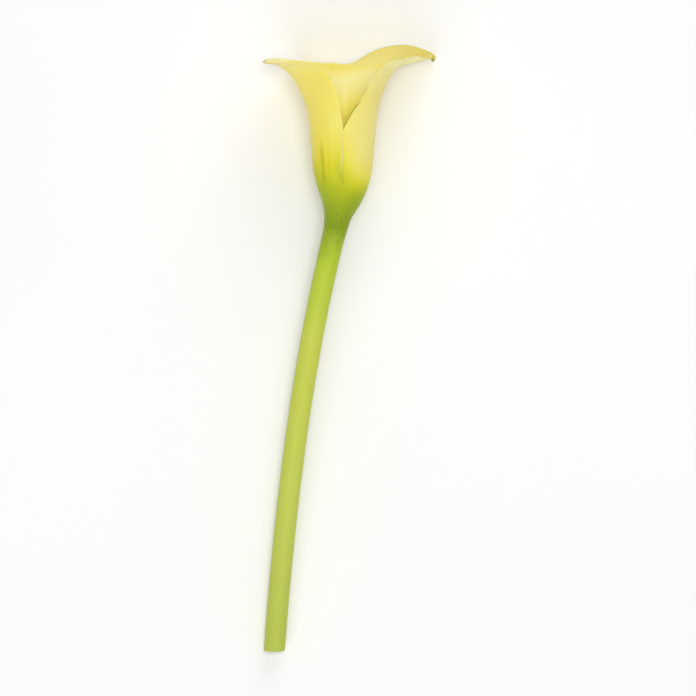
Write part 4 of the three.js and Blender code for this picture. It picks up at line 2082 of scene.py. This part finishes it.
@dataclass(frozen=True)
class Spadix:
    """The finger of florets inside the sheath: ovaries low down, pollen-bearing anthers above.

    Attributes:
        outline: height and radius over the florets.
        height: height of its rounded end.
        end_radius: radius there.
        cover: thickness of the layer of florets.
        thinnest: least radius of the core, and least distance of a floret's foot from the axis.
        core_ends: how far the core ends short of the florets, at its foot and at its end.
        core_sides: points in each ring of the core.
        core_rings: rings of the core.
        spiral_steps: places at which the florets are counted along a zone.
        play: degrees by which a floret's azimuth may be off.
        sizes: least and greatest size of a floret against the others.
        zones: the stretches of florets.
    """

    outline: Rows = (
        (0, 1.6),
        (2.5, 1.6),
        (5, 2.1),
        (9, 2.45),
        (14, 2.6),
        (19, 2.5),
        (24, 2.1),
        (27, 1.4),
        (28.2, 0.7),
    )
    height: float = 28.5
    end_radius: float = 0.25
    cover: float = 0.5
    thinnest: Pair = (0.15, 0.05)
    core_ends: Pair = (0.04, 0.3)
    core_sides: int = 48
    core_rings: int = 90
    spiral_steps: int = 400
    play: float = 3.0
    sizes: Pair = (0.9, 1.08)
    zones: tuple[FloretZone, ...] = (
        FloretZone(
            kind=FloretKind.OVARIES,
            low=1.0,
            high=8.2,
            pitch=1.05,
            width=0.56,
            tall=0.52,
            depth=0.75,
            squareness=2.2,
            nub=0.18,
        ),
        FloretZone(
            kind=FloretKind.ANTHERS,
            low=8.6,
            high=28.1,
            pitch=0.72,
            width=0.4,
            tall=0.36,
            depth=0.5,
            squareness=3.2,
            groove=0.09,
        ),
    )

    @cached_property
    def outline_curve(self) -> SmoothCurve:
        """Radius over the florets."""
        return SmoothCurve((*self.outline, (self.height, self.end_radius)))

    def build_core(self, laying: Laying, finish: FloretFinish, effects: Effects) -> Piece:
        """Makes the core that the florets sit on.

        Args:
            laying: how the flower lies.
            finish: the core's finish.
            effects: the shared node groups.

        Returns:
            The piece.
        """
        foot, end = self.core_ends
        height = np.linspace(foot, self.height - end, self.core_rings)[:, None]
        azimuth = turn_in(self.core_sides)[None, :]
        radius = np.maximum(self.outline_curve.at(height) - self.cover, self.thinnest[0])
        points = capped(around(radius, azimuth, height))
        faces = turned_faces(self.core_rings, self.core_sides)
        none = np.zeros(len(points))
        shell = Shell(AXIS.bend(points), faces, {"floret_top": none, "floret_tone": none})
        return shell.make("spadix_core", laying, [finish.dress(effects)], "spadix")

    def seats(self, zone: FloretZone) -> tuple[Array, Array]:
        """Where a zone's florets sit.

        Args:
            zone: the stretch of florets.

        Returns:
            The azimuth and the height of each, on one spiral.
        """
        height = np.linspace(zone.low, zone.high, self.spiral_steps)
        per_height = 2 * np.pi * self.outline_curve.at(height) / zone.pitch**2
        steps = np.diff(height) * (per_height[1:] + per_height[:-1]) / 2
        count = np.concatenate([[0], np.cumsum(steps)])
        order = np.arange(int(count[-1]))
        return order * GOLDEN_ANGLE, np.interp(order + 0.5, count, height)

    def build_florets(
        self, zone: FloretZone, laying: Laying, finish: FloretFinish, effects: Effects
    ) -> Piece:
        """Makes all the florets of a zone as one piece.

        Args:
            zone: the stretch of florets.
            laying: how the flower lies.
            finish: the florets' finish.
            effects: the shared node groups.

        Returns:
            The piece.
        """
        rng = np.random.default_rng(SEED)
        template, top, faces = zone.template()
        azimuth, height = self.seats(zone)
        count = len(azimuth)
        azimuth = azimuth + rng.uniform(-self.play, self.play, count)
        size = rng.uniform(*self.sizes, count)
        tone = rng.uniform(0, 1, count)
        nudge = 0.05
        radius = self.outline_curve.at(height)
        above, below = (self.outline_curve.at(height + way) for way in (nudge, -nudge))
        slope = (above - below) / (2 * nudge)
        foot = around(np.maximum(radius - zone.depth, self.thinnest[1]), azimuth, height)
        outward = unit(around(1.0, azimuth, 0.0) - slope[:, None] * BLOOM_AXIS)
        sideways = unit(np.cross(outward, BLOOM_AXIS))
        along = np.cross(sideways, outward)
        basis = np.stack([sideways, outward, along], axis=1) * size[:, None, None]
        points = foot[:, None, :] + np.einsum("kp,npx->nkx", template, basis)
        starts = range(0, count * len(template), len(template))
        every = [[corner + start for corner in face] for start in starts for face in faces]
        notes = {
            "floret_top": np.tile(top, count),
            "floret_tone": np.repeat(tone, len(template)),
        }
        shell = Shell(AXIS.bend(points.reshape(-1, 3)), every, notes)
        name = "spadix_" + zone.kind.value
        return shell.make(name, laying, [finish.dress(effects)], "spadix")

    def build(self, laying: Laying, effects: Effects) -> list[Piece]:
        """Makes the whole spadix.

        Args:
            laying: how the flower lies.
            effects: the shared node groups.

        Returns:
            Its pieces.
        """
        core = FloretFinish(name="core_skin", low="b89a3a", high="b89a3a", dusted=0.0)
        ovary = FloretFinish(
            name="ovary_skin", roughness=0.5, low="8fa03a", high="c3cc78", dust="ece3a0", dusted=0.5
        )
        finishes = {FloretKind.ANTHERS: FloretFinish(), FloretKind.OVARIES: ovary}
        pieces = [self.build_core(laying, core, effects)]
        for zone in self.zones:
            pieces.append(self.build_florets(zone, laying, finishes[zone.kind], effects))
        return pieces


# ---------------------------------------------------------------------------------------------
# Studio
# ---------------------------------------------------------------------------------------------


@dataclass(frozen=True)
class Softbox:
    """A square lamp that points at the flower.

    Attributes:
        name: the lamp's name.
        place: where it is, in metres.
        side: length of its sides, in metres.
        power: its power, in watts.
        colour: its colour.
    """

    name: str
    place: tuple[float, float, float]
    side: float
    power: float
    colour: tuple[float, float, float] = (1.0, 1.0, 1.0)

    def build(self, target: Vector) -> None:
        """Hangs the lamp.

        Args:
            target: what it points at.
        """
        data = bpy.data.lights.new(self.name, "AREA")
        data.size = self.side
        data.energy = self.power
        data.color = self.colour
        lamp = bpy.data.objects.new(self.name, data)
        lamp.location = self.place
        lamp.rotation_euler = (target - Vector(self.place)).to_track_quat("-Z", "Y").to_euler()
        bpy.context.scene.collection.objects.link(lamp)


@dataclass(frozen=True)
class Studio:
    """The camera, the pale floor and the soft light.

    Attributes:
        distance: distance from the camera to the bloom, in metres.
        elevation: how far the camera stands above the plane of the bloom's mouth.
        fill: share of the picture's height that the flower takes.
        sight: how far the camera sees, in metres.
        floor_side: length of the floor's sides, in metres.
        ambient: strength of the light from all round.
        ambient_colour: colour of that light.
        lamps: the lamps.
    """

    distance: float = 2.4
    elevation: float = 6.0
    fill: float = 0.88
    sight: float = 100.0
    floor_side: float = 6.0
    ambient: float = 0.31
    ambient_colour: str = "ffffff"
    lamps: tuple[Softbox, ...] = (
        Softbox("key", (0.08, 0.1, 1.6), 0.5, 9.2, (1.0, 0.995, 0.98)),
        Softbox("low", (-0.3, -0.9, 1.1), 1.5, 7.6),
        Softbox("high", (0.3, 1.3, 0.7), 1.1, 7.2),
    )

    def hang_camera(self) -> None:
        """Hangs the camera over the bloom at the photograph's angle, aimed at the flower's middle."""
        low, high = CAD_BOX
        middle = (low + high) / 2
        bloom = sum(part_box("spathe"), Vector()) / 2
        tilt = math.radians(self.elevation - Laying().pitch)
        place = bloom + Vector((0, math.sin(tilt), math.cos(tilt))) * self.distance
        back = (place - middle).normalized()
        up = back.cross(Vector((1, 0, 0)))
        right = up.cross(back).normalized()
        data = bpy.data.cameras.new("camera")
        half_view = (high.y - low.y) / 2 / self.fill
        data.lens = data.sensor_width / 2 * (place - middle).length / half_view
        data.clip_end = self.sight
        camera = bpy.data.objects.new("camera", data)
        turn = Matrix((right, back.cross(right), back)).transposed().to_4x4()
        camera.matrix_world = Matrix.Translation(place) @ turn
        bpy.context.scene.collection.objects.link(camera)
        bpy.context.scene.camera = camera

    def lay_floor(self, finish: FloorFinish, effects: Effects) -> None:
        """Lays the floor under the flower.

        Args:
            finish: the floor's finish.
            effects: the shared node groups.
        """
        half = self.floor_side / 2
        mesh = bpy.data.meshes.new("floor")
        corners = [(-half, -half, 0), (half, -half, 0), (half, half, 0), (-half, half, 0)]
        mesh.from_pydata(corners, [], [(0, 1, 2, 3)])
        mesh.materials.append(finish.dress(effects))
        floor = bpy.data.objects.new("floor", mesh)
        bpy.context.scene.collection.objects.link(floor)

    def light(self) -> None:
        """Hangs the lamps and sets the light from all round."""
        world = bpy.data.worlds.new("soft_room")
        world.use_nodes = True
        background = world.node_tree.nodes["Background"]
        background.inputs["Strength"].default_value = self.ambient
        background.inputs["Color"].default_value = tint(self.ambient_colour)
        bpy.context.scene.world = world
        low, high = CAD_BOX
        for lamp in self.lamps:
            lamp.build((low + high) / 2)
        bpy.context.scene.view_settings.view_transform = "Standard"


def write_sizes() -> None:
    """Brings the view layer up to date."""
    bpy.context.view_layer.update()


def main() -> None:
    """Builds the flower and the studio round it."""
    logging.basicConfig(level=logging.INFO, format="%(message)s")
    studio = Studio()
    studio.hang_camera()
    effects = Effects()
    stem = Stem()
    laying = Laying.onto_node(stem.cut_ring(), "stem")
    log.info("sheath's foot at %.3f, %.3f, %.3f mm", *laying.shift)
    stem.build(laying, StemFinish(), CutFinish(), effects)
    Spadix().build(laying, effects)
    sheath = Sheath()
    sheath.build(laying, PetalFinish(), effects)
    TipHook().build(sheath, laying, TipFinish(), effects)
    studio.lay_floor(FloorFinish(), effects)
    studio.light()
    write_sizes()


if __name__ == "__main__":
    main()
